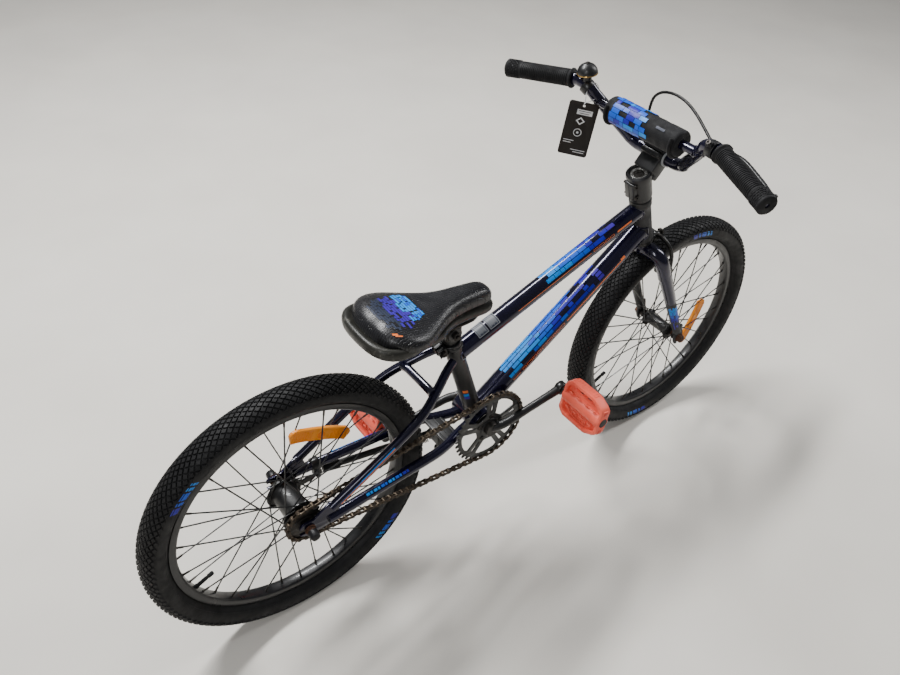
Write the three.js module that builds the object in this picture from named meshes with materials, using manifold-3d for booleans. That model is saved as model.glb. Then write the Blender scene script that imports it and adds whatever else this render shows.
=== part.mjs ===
// A child's 20 inch BMX bike, with front side-pull brake, coaster hub and kickstand, all in millimetres.
// X points forward, Y to the rider's left and Z up.  The build frame has its origin on the ground under
// the rear axle; the exported group is moved so that its origin lies midway between the two wheels.

import * as THREE from 'three';
import { mergeVertices } from 'three/addons/utils/BufferGeometryUtils.js';
import Module from 'manifold-3d';

const wasm = await Module();
wasm.setup();

// ---------------------------------------------------------------------------------------------------
// Driving dimensions
// ---------------------------------------------------------------------------------------------------

const GAP = 0.3; // left between pieces that touch

const WHEEL_RADIUS = 252; // over a 20 x 1.95 tyre on a 406 mm rim
const TYRE_WIDTH = 50;
const BEAD_RADIUS = 203;
const RIM_WIDTH = 24;
const RIM_INNER_RADIUS = 195.5;
const WHEEL_SEGMENTS = 36;
const SPOKES_PER_SIDE = 18;
const SPOKE_RADIUS = 1.1;

const WHEELBASE = 877;
const HEAD_ANGLE = THREE.MathUtils.degToRad(71);
const FORK_OFFSET = 35;
const SEAT_ANGLE = THREE.MathUtils.degToRad(72);
const BB_X = 373;
const BB_Z = 262;
const BB_HALF_WIDTH = 34;
const BB_RADIUS = 25;

const FRONT_DROPOUT_Y = 50; // inner faces, for a 100 mm hub
const REAR_DROPOUT_Y = 55; // inner faces, for a 110 mm hub
const DROPOUT_THICKNESS = 5;

const CHAIN_PITCH = 12.7;
const CHAIN_LINE_Y = -46;
const RING_TEETH = 36;
const COG_TEETH = 16;
const TOOTH_THICKNESS = 2.6;

const CRANK_LENGTH = 152;
const CRANK_REST_ANGLE = THREE.MathUtils.degToRad(15);
const PEDAL_INNER_Y = 85;
const PEDAL_LENGTH = 95;
const PEDAL_WIDTH = 78;
const PEDAL_HEIGHT = 27;
const PEDAL_REST_TILT = THREE.MathUtils.degToRad(80);

const STEERER_RADIUS = 14.3;
const HEAD_TUBE_RADIUS = 18.5;
const SEAT_TUBE_RADIUS = 15.9;
const SEAT_POST_RADIUS = 13.6;
const TOP_TUBE_RADIUS = 16.5;
const DOWN_TUBE_RADIUS = 20.5;

const BAR_RADIUS = 11.1;
const BAR_HALF_WIDTH = 286;
const GRIP_LENGTH = 128;
const GRIP_RADIUS = 15.5;
const PAD_LENGTH = 158;
const PAD_RADIUS = 23.5;

// Heights up the steering axis, measured from the foot of the fork offset
const CROWN_BOTTOM = 258;
const CROWN_TOP = 279.7;
const HEAD_TUBE_BOTTOM = 290;
const HEAD_TUBE_TOP = 382;
const STEM_BOTTOM = 394;
const STEM_TOP = 448;
const BRAKE_PIVOT_HEIGHT = 268;

// ---------------------------------------------------------------------------------------------------
// Places worked out from the dimensions
// ---------------------------------------------------------------------------------------------------

const V = (x, y, z) => new THREE.Vector3(x, y, z);
const X_AXIS = V(1, 0, 0);
const Y_AXIS = V(0, 1, 0);
const Z_AXIS = V(0, 0, 1);

const REAR_AXLE = V(0, 0, WHEEL_RADIUS);
const FRONT_AXLE = V(WHEELBASE, 0, WHEEL_RADIUS);
const BB = V(BB_X, 0, BB_Z);

const STEER_UP = V(-Math.cos(HEAD_ANGLE), 0, Math.sin(HEAD_ANGLE));
const STEER_FORWARD = V(Math.sin(HEAD_ANGLE), 0, Math.cos(HEAD_ANGLE));
const STEER_FOOT = FRONT_AXLE.clone().addScaledVector(STEER_FORWARD, -FORK_OFFSET);

// A point in the steering frame: forward of the axis, to the left of it, and up along it
const steer = (forward, left, up) => STEER_FOOT.clone()
  .addScaledVector(STEER_FORWARD, forward)
  .addScaledVector(Y_AXIS, left)
  .addScaledVector(STEER_UP, up);

const SEAT_UP = V(-Math.cos(SEAT_ANGLE), 0, Math.sin(SEAT_ANGLE));
const onSeatTube = (up) => BB.clone().addScaledVector(SEAT_UP, up);
const SEAT_TUBE_TOP = 196;
const POST_TOP = 252;

const pitchRadius = (teeth) => CHAIN_PITCH / (2 * Math.sin(Math.PI / teeth));

const BAR_CENTRE = V(737, 0, 688);
const BAR_LOWER_BEND_Y = 52;
const BAR_UPPER_BEND = V(676, 137, 777);
const GRIP_INNER = V(673.5, 163, 777);
const GRIP_OUTER = V(629.5, BAR_HALF_WIDTH, 761.5);
const PAD_CENTRE = V(690, 0, 751);

const mirrorY = (p) => V(p.x, -p.y, p.z);
const sided = (p, side) => V(p.x, side * p.y, p.z);

// ---------------------------------------------------------------------------------------------------
// Solids
// ---------------------------------------------------------------------------------------------------

function signedVolume(position, index) {
  const a = V(0, 0, 0);
  const b = V(0, 0, 0);
  const c = V(0, 0, 0);
  let total = 0;
  for (let i = 0; i < index.count; i += 3) {
    a.fromBufferAttribute(position, index.getX(i));
    b.fromBufferAttribute(position, index.getX(i + 1));
    c.fromBufferAttribute(position, index.getX(i + 2));
    total += a.dot(b.cross(c)) / 6;
  }
  return total;
}

// A closed three.js geometry as a solid, with its faces turned outward
function solid(geometry) {
  const bare = geometry.clone();
  for (const name of Object.keys(bare.attributes)) {
    if (name !== 'position') bare.deleteAttribute(name);
  }
  const merged = mergeVertices(bare, 1e-4);
  const position = merged.getAttribute('position');
  const index = merged.getIndex();
  const triVerts = Uint32Array.from(index.array);
  if (signedVolume(position, index) < 0) {
    for (let i = 0; i < triVerts.length; i += 3) {
      [triVerts[i + 1], triVerts[i + 2]] = [triVerts[i + 2], triVerts[i + 1]];
    }
  }
  const vertProperties = Float32Array.from(position.array);
  return new wasm.Manifold(new wasm.Mesh({ numProp: 3, vertProperties, triVerts }));
}

function geometryOf(shape) {
  const mesh = shape.getMesh();
  const geometry = new THREE.BufferGeometry();
  geometry.setAttribute('position', new THREE.BufferAttribute(mesh.vertProperties, 3));
  geometry.setIndex(new THREE.BufferAttribute(mesh.triVerts, 1));
  return geometry;
}

const join = (shapes) => shapes.reduce((all, shape) => all.add(shape));
const cut = (shape, tools) => tools.reduce((left, tool) => left.subtract(tool), shape);

// A round bar or cone from a to b
function rod(a, b, radius, sides = 16, endRadius = radius) {
  const along = b.clone().sub(a);
  const geometry = new THREE.CylinderGeometry(endRadius, radius, along.length(), sides);
  geometry.applyQuaternion(new THREE.Quaternion().setFromUnitVectors(Y_AXIS, along.clone().normalize()));
  const middle = a.clone().add(b).multiplyScalar(0.5);
  geometry.translate(middle.x, middle.y, middle.z);
  return solid(geometry);
}

// A round bar along Y through a centre in the X-Z plane
const rodY = (centre, y0, y1, radius, sides = 16, endRadius = radius) => (
  rod(V(centre.x, y0, centre.z), V(centre.x, y1, centre.z), radius, sides, endRadius)
);

const extended = (a, b, extra) => {
  const step = b.clone().sub(a).setLength(extra);
  return [a.clone().sub(step), b.clone().add(step)];
};

function sleeve(a, b, outer, inner, sides = 20) {
  return rod(a, b, outer, sides).subtract(rod(...extended(a, b, 1), inner, sides));
}

// A round tube along a smooth curve through the points
function bentTube(points, radius, sides = 10, steps = 12, tension = 0.5) {
  const section = new THREE.Shape();
  section.absarc(0, 0, radius, 0, 2 * Math.PI, false);
  const path = new THREE.CatmullRomCurve3(points, false, 'catmullrom', tension);
  const options = { steps, curveSegments: sides / 2, extrudePath: path, bevelEnabled: false };
  return solid(new THREE.ExtrudeGeometry(section, options));
}

// A ring or disc turned about Y through a centre; the profile lists [radius, y] and closes on itself
// unless it starts and ends on the axis
function turnedY(centre, profile, segments, phase = 0) {
  const points = profile.map(([radius, y]) => new THREE.Vector2(radius, y));
  if (profile[0][0] > 0) points.push(points[0].clone());
  const geometry = new THREE.LatheGeometry(points, segments);
  geometry.rotateY(phase);
  geometry.translate(centre.x, centre.y, centre.z);
  return solid(geometry);
}

// The same, turned about the line from `from` in direction `along`
function turned(from, along, profile, segments) {
  const points = profile.map(([radius, y]) => new THREE.Vector2(radius, y));
  if (profile[0][0] > 0) points.push(points[0].clone());
  const geometry = new THREE.LatheGeometry(points, segments);
  geometry.applyQuaternion(new THREE.Quaternion().setFromUnitVectors(Y_AXIS, along));
  geometry.translate(from.x, from.y, from.z);
  return solid(geometry);
}

// A block with its edges along three directions
function block(centre, sizes, right = X_AXIS, up = Z_AXIS) {
  const geometry = new THREE.BoxGeometry(...sizes);
  const back = right.clone().cross(up).normalize();
  geometry.applyMatrix4(new THREE.Matrix4().makeBasis(right, back.negate(), up));
  geometry.translate(centre.x, centre.y, centre.z);
  return solid(geometry);
}

// A flat plate in the X-Z plane: outline points are [x, z], y0 to y1 is its thickness
function plateY(outline, y0, y1, holes = []) {
  const flat = new THREE.Shape(outline.map(([x, z]) => new THREE.Vector2(x, z)));
  for (const hole of holes) flat.holes.push(hole);
  const options = { depth: y1 - y0, bevelEnabled: false, curveSegments: 6 };
  const geometry = new THREE.ExtrudeGeometry(flat, options);
  geometry.rotateX(Math.PI / 2);
  geometry.translate(0, y1, 0);
  return solid(geometry);
}

// ---------------------------------------------------------------------------------------------------
// Materials and the exported group
// ---------------------------------------------------------------------------------------------------

const finishes = {
  framePaint: { color: 0x0b0b1c, roughness: 0.22, metalness: 0.35 },
  satinBlack: { color: 0x17171b, roughness: 0.45, metalness: 0.2 },
  matteGrey: { color: 0x2c2c30, roughness: 0.6, metalness: 0.2 },
  blackSteel: { color: 0x131315, roughness: 0.4, metalness: 0.7 },
  chainSteel: { color: 0x33291f, roughness: 0.55, metalness: 0.7 },
  rubber: { color: 0x17171a, roughness: 0.9, metalness: 0 },
  tyreRubber: { color: 0x19191b, roughness: 0.92, metalness: 0 },
  plastic: { color: 0x1b1b1d, roughness: 0.6, metalness: 0 },
  coral: { color: 0xef6f55, roughness: 0.45, metalness: 0 },
  amber: { color: 0xf08a1c, roughness: 0.25, metalness: 0 },
  vinyl: { color: 0x1c1c20, roughness: 0.5, metalness: 0 },
  padFabric: { color: 0x16245e, roughness: 0.75, metalness: 0 },
  card: { color: 0x181412, roughness: 0.7, metalness: 0 },
};

const bike = new THREE.Group();
bike.position.set(-WHEELBASE / 2, 0, 0);

function piece(name, shape, finish) {
  const mesh = new THREE.Mesh(geometryOf(shape), new THREE.MeshStandardMaterial(finishes[finish]));
  mesh.name = name;
  bike.add(mesh);
}

const SIDES = [['left', 1], ['right', -1]];

// ---------------------------------------------------------------------------------------------------
// Frame tubes
// ---------------------------------------------------------------------------------------------------

const headTubeLow = steer(0, 0, HEAD_TUBE_BOTTOM);
const headTubeHigh = steer(0, 0, HEAD_TUBE_TOP);
const headTubeClearance = rod(...extended(headTubeLow, headTubeHigh, 5), HEAD_TUBE_RADIUS + GAP, 24);
const seatTubeHigh = onSeatTube(SEAT_TUBE_TOP);
const seatTubeClearance = rod(BB, seatTubeHigh, SEAT_TUBE_RADIUS + GAP, 24);
const shellClearance = rodY(BB, -BB_HALF_WIDTH - 1, BB_HALF_WIDTH + 1, BB_RADIUS + GAP, 28);

const headTube = sleeve(headTubeLow, headTubeHigh, HEAD_TUBE_RADIUS, STEERER_RADIUS + 1.2, 24);
piece('head_tube', headTube, 'satinBlack');

const TOP_TUBE_FRONT = steer(0, 0, 366);
const TOP_TUBE_REAR = onSeatTube(174);
const topTube = rod(TOP_TUBE_REAR, TOP_TUBE_FRONT, TOP_TUBE_RADIUS, 16);
piece('top_tube', cut(topTube, [headTubeClearance, seatTubeClearance]), 'framePaint');

const DOWN_TUBE_FRONT = steer(0, 0, 318);
const downTube = rod(BB, DOWN_TUBE_FRONT, DOWN_TUBE_RADIUS, 16);
const topTubeClearance = rod(TOP_TUBE_REAR, TOP_TUBE_FRONT, TOP_TUBE_RADIUS + GAP, 16);
const downTubeClearance = rod(BB, DOWN_TUBE_FRONT, DOWN_TUBE_RADIUS + GAP, 16);
piece('down_tube', cut(downTube, [headTubeClearance, shellClearance, topTubeClearance]), 'framePaint');

const postBore = rod(onSeatTube(45), onSeatTube(SEAT_TUBE_TOP + 1), SEAT_POST_RADIUS + GAP, 20);
const seatTubeRod = rod(BB, seatTubeHigh, SEAT_TUBE_RADIUS, 20);
piece('seat_tube', cut(seatTubeRod, [shellClearance, downTubeClearance, postBore]), 'satinBlack');

const SHELL_BORE = 20;
const shell = rodY(BB, -BB_HALF_WIDTH, BB_HALF_WIDTH, BB_RADIUS, 28);
const shellBore = rodY(BB, -BB_HALF_WIDTH - 9, BB_HALF_WIDTH + 9, SHELL_BORE, 20);
piece('bottom_bracket_shell', shell.subtract(shellBore), 'framePaint');

const AXLE_RADIUS = 8.5; // of the one-piece crank

// ---------------------------------------------------------------------------------------------------
// Rear triangle
// ---------------------------------------------------------------------------------------------------

const STAY_END_Y = REAR_DROPOUT_Y + DROPOUT_THICKNESS / 2;
const AXLE_SLOT_HALF = 5.4;

function dropout(side) {
  const outline = [[-17, 262], [-17, 241], [10, 238], [52, 243], [56, 262], [50, 285], [38, 288], [10, 268]];
  const plate = plateY(outline, ...[REAR_DROPOUT_Y, REAR_DROPOUT_Y + DROPOUT_THICKNESS]
    .map((y) => side * y).sort((a, b) => a - b));
  const slotCentre = V(-20 + AXLE_SLOT_HALF / 2, side * STAY_END_Y, WHEEL_RADIUS);
  const slot = block(slotCentre, [40 + AXLE_SLOT_HALF, 20, 2 * AXLE_SLOT_HALF]);
  return cut(plate, [slot, rodY(REAR_AXLE, side * 40, side * 80, AXLE_SLOT_HALF, 12)]);
}

const CHAINSTAY_RADIUS = 9;
const chainstayRoute = (side) => [
  V(352, 18, 261), V(332, 22, 260), V(310, 29, 259), V(288, 37, 258), V(262, 43, 257.5),
  V(230, 46, 257), V(185, 48.6, 256), V(115, 53, 254.5), V(46, 57.5, 253),
].map((p) => sided(p, side));

const SEATSTAY_RADIUS = 8;
const seatstayRoute = (side) => [
  V(40, 60, 278), V(110, 60.5, 321), V(170, 60.5, 358), V(205, 58.5, 379.5), V(230, 52, 395),
  V(255, 41, 410.5), V(280, 29, 426), V(306, 19, 436),
].map((p) => sided(p, side));

// The bridge's place on a stay, as seen from the side
const BRIDGE_CENTRE = V(246, 0, 405);

for (const [label, side] of SIDES) {
  const stay = bentTube(chainstayRoute(side), CHAINSTAY_RADIUS, 10, 14);
  const welded = cut(stay.add(dropout(side)), [
    shellClearance,
    block(V(0, side * (REAR_DROPOUT_Y - 10), 252), [60, 20 - 2 * GAP, 60]),
  ]);
  piece(`chainstay_${label}`, welded, 'framePaint');
}

for (const [label, side] of SIDES) {
  const stay = bentTube(seatstayRoute(side), SEATSTAY_RADIUS, 10, 14);
  const plateGap = block(V(20, side * STAY_END_Y, 262), [90, DROPOUT_THICKNESS + 2 * GAP, 66]);
  const shortened = cut(stay, [seatTubeClearance, topTubeClearance, plateGap]);
  piece(`seatstay_${label}`, shortened, 'framePaint');
}

const stayClearance = SIDES.map(([, side]) => bentTube(seatstayRoute(side), SEATSTAY_RADIUS + GAP, 10, 14));
const bridgeEnd = (side) => [
  V(BRIDGE_CENTRE.x, side * 20, BRIDGE_CENTRE.z),
  V(BRIDGE_CENTRE.x, side * 52, BRIDGE_CENTRE.z),
];
const bridge = join([
  rodY(BRIDGE_CENTRE, -50, 50, 7.5, 12),
  ...SIDES.map(([, side]) => rod(...bridgeEnd(side), 7.5, 12, 13)),
]);
piece('seatstay_bridge', cut(bridge, stayClearance), 'framePaint');

// ---------------------------------------------------------------------------------------------------
// Kickstand
// ---------------------------------------------------------------------------------------------------

const STAND_PIVOT = V(298, 24, 226);
const STAND_AXIS = V(0, 1, 0.3).normalize();
const stayFill = SIDES.map(([, side]) => bentTube(chainstayRoute(side), CHAINSTAY_RADIUS + GAP, 10, 14));
const standPlate = block(V(300, 0, 259), [34, 70, 6]);
const standCasting = join([
  cut(standPlate, stayFill),
  block(V(300, 2, 243), [28, 28, 32]),
  rod(V(300, 2, 230), V(300, 2, 196), 5, 6),
  rod(V(300, 2, 204), V(300, 2, 196), 8.5, 6),
]);
const pivotClearance = rod(
  STAND_PIVOT.clone().addScaledVector(STAND_AXIS, -7),
  STAND_PIVOT.clone().addScaledVector(STAND_AXIS, 30),
  12.5,
  16,
);
piece('kickstand_mount', cut(standCasting, [pivotClearance]), 'blackSteel');

const STAND_FOOT = V(95, 56, 231);
const standLeg = join([
  rod(
    STAND_PIVOT.clone().addScaledVector(STAND_AXIS, -6.5),
    STAND_PIVOT.clone().addScaledVector(STAND_AXIS, 8),
    10.5,
    16,
  ),
  rod(STAND_PIVOT.clone().addScaledVector(STAND_AXIS, 1), STAND_FOOT, 6, 10),
  rod(STAND_FOOT.clone().add(V(18, -2.3, -0.5)), STAND_FOOT, 8, 10),
]);
piece('kickstand_leg', standLeg, 'blackSteel');

// ---------------------------------------------------------------------------------------------------
// Headset, seat collar, post and saddle
// ---------------------------------------------------------------------------------------------------

const CUP_BORE = STEERER_RADIUS + GAP + 0.1;
const cupUpper = turned(steer(0, 0, 0), STEER_UP, [
  [CUP_BORE, HEAD_TUBE_TOP + GAP], [20, HEAD_TUBE_TOP + GAP], [20.5, HEAD_TUBE_TOP + 5],
  [17, STEM_BOTTOM - GAP], [CUP_BORE, STEM_BOTTOM - GAP],
], 20);
const cupLower = turned(steer(0, 0, 0), STEER_UP, [
  [CUP_BORE, CROWN_TOP + GAP], [18.5, CROWN_TOP + GAP], [20.5, HEAD_TUBE_BOTTOM - 5],
  [20, HEAD_TUBE_BOTTOM - GAP], [CUP_BORE, HEAD_TUBE_BOTTOM - GAP],
], 20);
piece('headset_cup_upper', cupUpper, 'blackSteel');
piece('headset_cup_lower', cupLower, 'blackSteel');

const collarLow = onSeatTube(SEAT_TUBE_TOP + GAP);
const collarHigh = onSeatTube(SEAT_TUBE_TOP + 15);
const collarEar = onSeatTube(SEAT_TUBE_TOP + 8).add(V(-21, 0, -6));
const seatCollar = join([
  rod(collarLow, collarHigh, SEAT_TUBE_RADIUS + 2.5, 20),
  block(collarEar, [14, 22, 12], V(Math.sin(SEAT_ANGLE), 0, Math.cos(SEAT_ANGLE)), SEAT_UP),
]);
piece('seat_collar', cut(seatCollar, [
  rod(...extended(collarLow, collarHigh, 4), SEAT_POST_RADIUS + GAP, 20),
  block(collarEar, [22, 3, 30], V(Math.sin(SEAT_ANGLE), 0, Math.cos(SEAT_ANGLE)), SEAT_UP),
]), 'blackSteel');

piece('seat_post', rod(onSeatTube(72), onSeatTube(POST_TOP - 4), SEAT_POST_RADIUS, 20), 'blackSteel');

// The saddle's clamp: two cheeks beside the post and a jaw over it, turning about the clamp bolt
const CLAMP_PIVOT = onSeatTube(POST_TOP - 9);
const RAIL_Z = CLAMP_PIVOT.z + 16;
const RAIL_HALF_SPACING = 22;
const clampCheek = (side) => block(CLAMP_PIVOT.clone().add(V(0, side * 18.5, 5)), [30, 8, 34]);
const saddleClamp = join([
  clampCheek(1),
  clampCheek(-1),
  block(CLAMP_PIVOT.clone().add(V(0, 0, 18.5)), [30, 44, 8]),
]);
const railClearance = SIDES.map(([, side]) => rod(
  V(CLAMP_PIVOT.x - 40, side * RAIL_HALF_SPACING, RAIL_Z),
  V(CLAMP_PIVOT.x + 40, side * RAIL_HALF_SPACING, RAIL_Z),
  3.5 + GAP,
  12,
));
piece('saddle_clamp', cut(saddleClamp, railClearance), 'blackSteel');

// Two steel rails joined by a hoop under the nose
const railRoute = [
  V(CLAMP_PIVOT.x - 88, 42, RAIL_Z + 22), V(CLAMP_PIVOT.x - 68, 35, RAIL_Z + 11),
  V(CLAMP_PIVOT.x - 42, RAIL_HALF_SPACING + 2, RAIL_Z), V(CLAMP_PIVOT.x - 26, RAIL_HALF_SPACING, RAIL_Z),
  V(CLAMP_PIVOT.x + 26, RAIL_HALF_SPACING, RAIL_Z), V(CLAMP_PIVOT.x + 42, 19, RAIL_Z + 1),
  V(CLAMP_PIVOT.x + 60, 10, RAIL_Z + 5), V(CLAMP_PIVOT.x + 66, 0, RAIL_Z + 7),
];
const railHoop = [...railRoute, ...railRoute.slice(0, -1).reverse().map(mirrorY)];
piece('saddle_rails', bentTube(railHoop, 3.5, 6, 26, 0.35), 'blackSteel');

// The saddle's base and cushion seen from above, from tail to nose: [x, half width].  The base shows
// as a bumper round the tail of the cushion.
const SADDLE_TAIL_X = 128;
const SADDLE_FRONT_PLAN = [[125, 48], [160, 31], [205, 24], [240, 21], [253, 9]];
const BASE_PLAN = [[0, 34], [9, 58], [30, 73], [60, 77], [92, 69], ...SADDLE_FRONT_PLAN];
const CUSHION_PLAN = [[13, 28], [21, 50], [38, 64], [64, 70], [92, 65], ...SADDLE_FRONT_PLAN];

function saddleOutline(plan, grow) {
  const half = plan.map(([x, y]) => new THREE.Vector2(SADDLE_TAIL_X + x, y + grow));
  const other = half.map((p) => new THREE.Vector2(p.x, -p.y)).reverse();
  return new THREE.Shape([...half, ...other]);
}

// A slab with the saddle's plan, between two heights at the tail that fall towards the nose
function saddleSlab(plan, grow, low, high) {
  const options = { depth: high - low, bevelEnabled: false };
  const geometry = new THREE.ExtrudeGeometry(saddleOutline(plan, grow), options);
  geometry.translate(0, 0, low);
  const position = geometry.getAttribute('position');
  for (let i = 0; i < position.count; i += 1) {
    const fall = 0.125 * (position.getX(i) - SADDLE_TAIL_X);
    position.setZ(i, position.getZ(i) - fall);
  }
  return solid(geometry);
}

const SADDLE_BASE_LOW = 540;
const SADDLE_SPLIT = 553;
const SADDLE_HIGH = 577;
const railPockets = bentTube(railHoop, 3.5 + GAP, 6, 26, 0.35);
const saddleBase = saddleSlab(BASE_PLAN, 0, SADDLE_BASE_LOW, SADDLE_SPLIT - GAP);
piece('saddle_base', saddleBase.subtract(railPockets), 'plastic');
piece('saddle_cushion', join([
  saddleSlab(CUSHION_PLAN, -1, SADDLE_SPLIT, SADDLE_HIGH - 8),
  saddleSlab(CUSHION_PLAN, -5, SADDLE_SPLIT + 2, SADDLE_HIGH),
]), 'vinyl');

// ---------------------------------------------------------------------------------------------------
// Fork
// ---------------------------------------------------------------------------------------------------

const CROWN_RADIUS = 17;
const crownClearance = rod(steer(0, 0, CROWN_BOTTOM - 8), steer(0, 0, CROWN_TOP + 3), CROWN_RADIUS + GAP, 20);
const steererSolid = join([
  rod(steer(0, 0, CROWN_BOTTOM), steer(0, 0, CROWN_TOP), CROWN_RADIUS, 20),
  rod(steer(0, 0, CROWN_TOP - 4), steer(0, 0, STEM_TOP - 6), STEERER_RADIUS, 20),
  rod(steer(10, 0, BRAKE_PIVOT_HEIGHT), steer(51, 0, BRAKE_PIVOT_HEIGHT), 3.2, 10),
  rod(steer(46, 0, BRAKE_PIVOT_HEIGHT), steer(51, 0, BRAKE_PIVOT_HEIGHT), 6.5, 6),
]);
const steererBore = rod(steer(0, 0, HEAD_TUBE_TOP - 20), steer(0, 0, STEM_TOP), STEERER_RADIUS - 2.2, 20);
piece('fork_steerer', steererSolid.subtract(steererBore), 'framePaint');

const BLADE_RADIUS = 13;
const BLADE_Y = 47;
const BLADE_TIP_Y = FRONT_DROPOUT_Y + DROPOUT_THICKNESS / 2;

for (const [label, side] of SIDES) {
  const shoulder = [
    steer(0, side * 6, 265.5), steer(0, side * 22, 265.3), steer(1, side * 36, 260),
    steer(3, side * 44.5, 247), steer(6, side * BLADE_Y, 225), steer(9, side * BLADE_Y, 205),
  ];
  const bladeTop = steer(8, side * BLADE_Y, 214);
  const bladeTip = steer(FORK_OFFSET - 2, side * (BLADE_TIP_Y - 0.5), 17);
  const plate = plateY(
    [[-11, -6], [-8, -12], [8, -12], [11, -6], [9, 30], [-9, 30]].map(([x, z]) => {
      const corner = steer(FORK_OFFSET + x, 0, z);
      return [corner.x, corner.z];
    }),
    ...[FRONT_DROPOUT_Y, FRONT_DROPOUT_Y + DROPOUT_THICKNESS].map((y) => side * y).sort((a, b) => a - b),
  );
  const blade = join([
    bentTube(shoulder, BLADE_RADIUS + 0.5, 10, 9),
    rod(bladeTop, bladeTip, BLADE_RADIUS, 10, 8.5),
    plate,
  ]);
  piece(`fork_blade_${label}`, cut(blade, [
    crownClearance,
    rodY(FRONT_AXLE, side * 44, side * 80, 5, 12),
    rodY(FRONT_AXLE, side * (FRONT_DROPOUT_Y - 12), side * (FRONT_DROPOUT_Y - GAP / 2), 13, 12),
    rodY(FRONT_AXLE, side * (FRONT_DROPOUT_Y + DROPOUT_THICKNESS), side * 80, 12.5, 12),
  ]), 'matteGrey');
}

// ---------------------------------------------------------------------------------------------------
// Stem, handlebar, pad and grips
// ---------------------------------------------------------------------------------------------------

const barClearance = rodY(BAR_CENTRE, -60, 60, BAR_RADIUS + GAP, 20);
const STEM_HALF_WIDTH = 21;
const stemReach = BAR_CENTRE.clone().sub(steer(0, 0, STEM_TOP - 18));
const reachDirection = stemReach.clone().normalize();
const reachUp = reachDirection.clone().cross(Y_AXIS).normalize();
const stemBody = join([
  rod(steer(0, 0, STEM_BOTTOM), steer(0, 0, STEM_TOP), 20, 24),
  block(steer(-22, 0, 421), [16, 24, 40], STEER_FORWARD, STEER_UP),
  block(
    BAR_CENTRE.clone().addScaledVector(reachDirection, -24),
    [stemReach.length() - 2, 2 * STEM_HALF_WIDTH - 8, 30],
    reachDirection,
    reachUp,
  ),
  rodY(BAR_CENTRE, -STEM_HALF_WIDTH, STEM_HALF_WIDTH, 17.5, 20),
]);
const capHalf = block(
  BAR_CENTRE.clone().addScaledVector(reachDirection, 25),
  [50, 80, 80],
  reachDirection,
  reachUp,
);
const stemBore = rod(steer(0, 0, STEM_BOTTOM - 5), steer(0, 0, STEM_TOP - 6), STEERER_RADIUS + GAP, 20);
const stemWell = rod(steer(0, 0, STEM_TOP - 8), steer(0, 0, STEM_TOP + 5), 13, 20);
const pinchSlot = block(steer(-28, 0, 421), [26, 2.5, 70], STEER_FORWARD, STEER_UP);
piece('stem', cut(stemBody, [barClearance, capHalf, stemBore, stemWell, pinchSlot]), 'satinBlack');

const faceplateGap = block(
  BAR_CENTRE.clone().addScaledVector(reachDirection, -49 + 0.8),
  [98, 80, 80],
  reachDirection,
  reachUp,
);
const faceplate = join([
  rodY(BAR_CENTRE, -STEM_HALF_WIDTH, STEM_HALF_WIDTH, 17.5, 20),
  block(
    BAR_CENTRE.clone().addScaledVector(reachDirection, 4.5),
    [7, 2 * STEM_HALF_WIDTH, 48],
    reachDirection,
    reachUp,
  ),
]);
piece('stem_faceplate', cut(faceplate, [barClearance, faceplateGap]), 'satinBlack');

const barHalf = (side) => [
  V(BAR_CENTRE.x, 30, BAR_CENTRE.z), V(BAR_CENTRE.x, BAR_LOWER_BEND_Y - 8, BAR_CENTRE.z),
  V(BAR_CENTRE.x - 4, BAR_LOWER_BEND_Y + 8, BAR_CENTRE.z + 6),
  V(BAR_CENTRE.x - 13, 71, BAR_CENTRE.z + 19), V(BAR_UPPER_BEND.x + 14, 117, BAR_UPPER_BEND.z - 20),
  V(BAR_UPPER_BEND.x + 4, 129, BAR_UPPER_BEND.z - 5), V(BAR_UPPER_BEND.x, 143, BAR_UPPER_BEND.z + 1),
  GRIP_INNER, GRIP_INNER.clone().lerp(GRIP_OUTER, 0.5), GRIP_INNER.clone().lerp(GRIP_OUTER, 0.985),
].map((p) => sided(p, side));
const barRoute = [...barHalf(-1).reverse(), V(BAR_CENTRE.x, 0, BAR_CENTRE.z), ...barHalf(1)];
const CROSSBAR_HALF_LENGTH = 109;
const crossbar = rodY(PAD_CENTRE, -CROSSBAR_HALF_LENGTH, CROSSBAR_HALF_LENGTH, 8, 12);
const handlebar = bentTube(barRoute, BAR_RADIUS, 8, 40).add(crossbar);
piece('handlebar', handlebar, 'framePaint');

const barFill = bentTube(barRoute, BAR_RADIUS + GAP, 8, 40);
const padTube = rodY(PAD_CENTRE, -PAD_LENGTH / 2, PAD_LENGTH / 2, PAD_RADIUS, 20);
const padBore = rodY(PAD_CENTRE, -PAD_LENGTH, PAD_LENGTH, 8 + GAP, 12);
piece('crossbar_pad', padTube.subtract(padBore), 'padFabric');

for (const [label, side] of SIDES) {
  const inner = sided(GRIP_INNER, side);
  const outer = sided(GRIP_OUTER, side);
  const grip = rod(inner, outer, GRIP_RADIUS, 16);
  piece(`grip_${label}`, grip.subtract(barFill), 'rubber');
}

// ---------------------------------------------------------------------------------------------------
// Bell on the left of the bar, brake lever on the right
// ---------------------------------------------------------------------------------------------------

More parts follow.
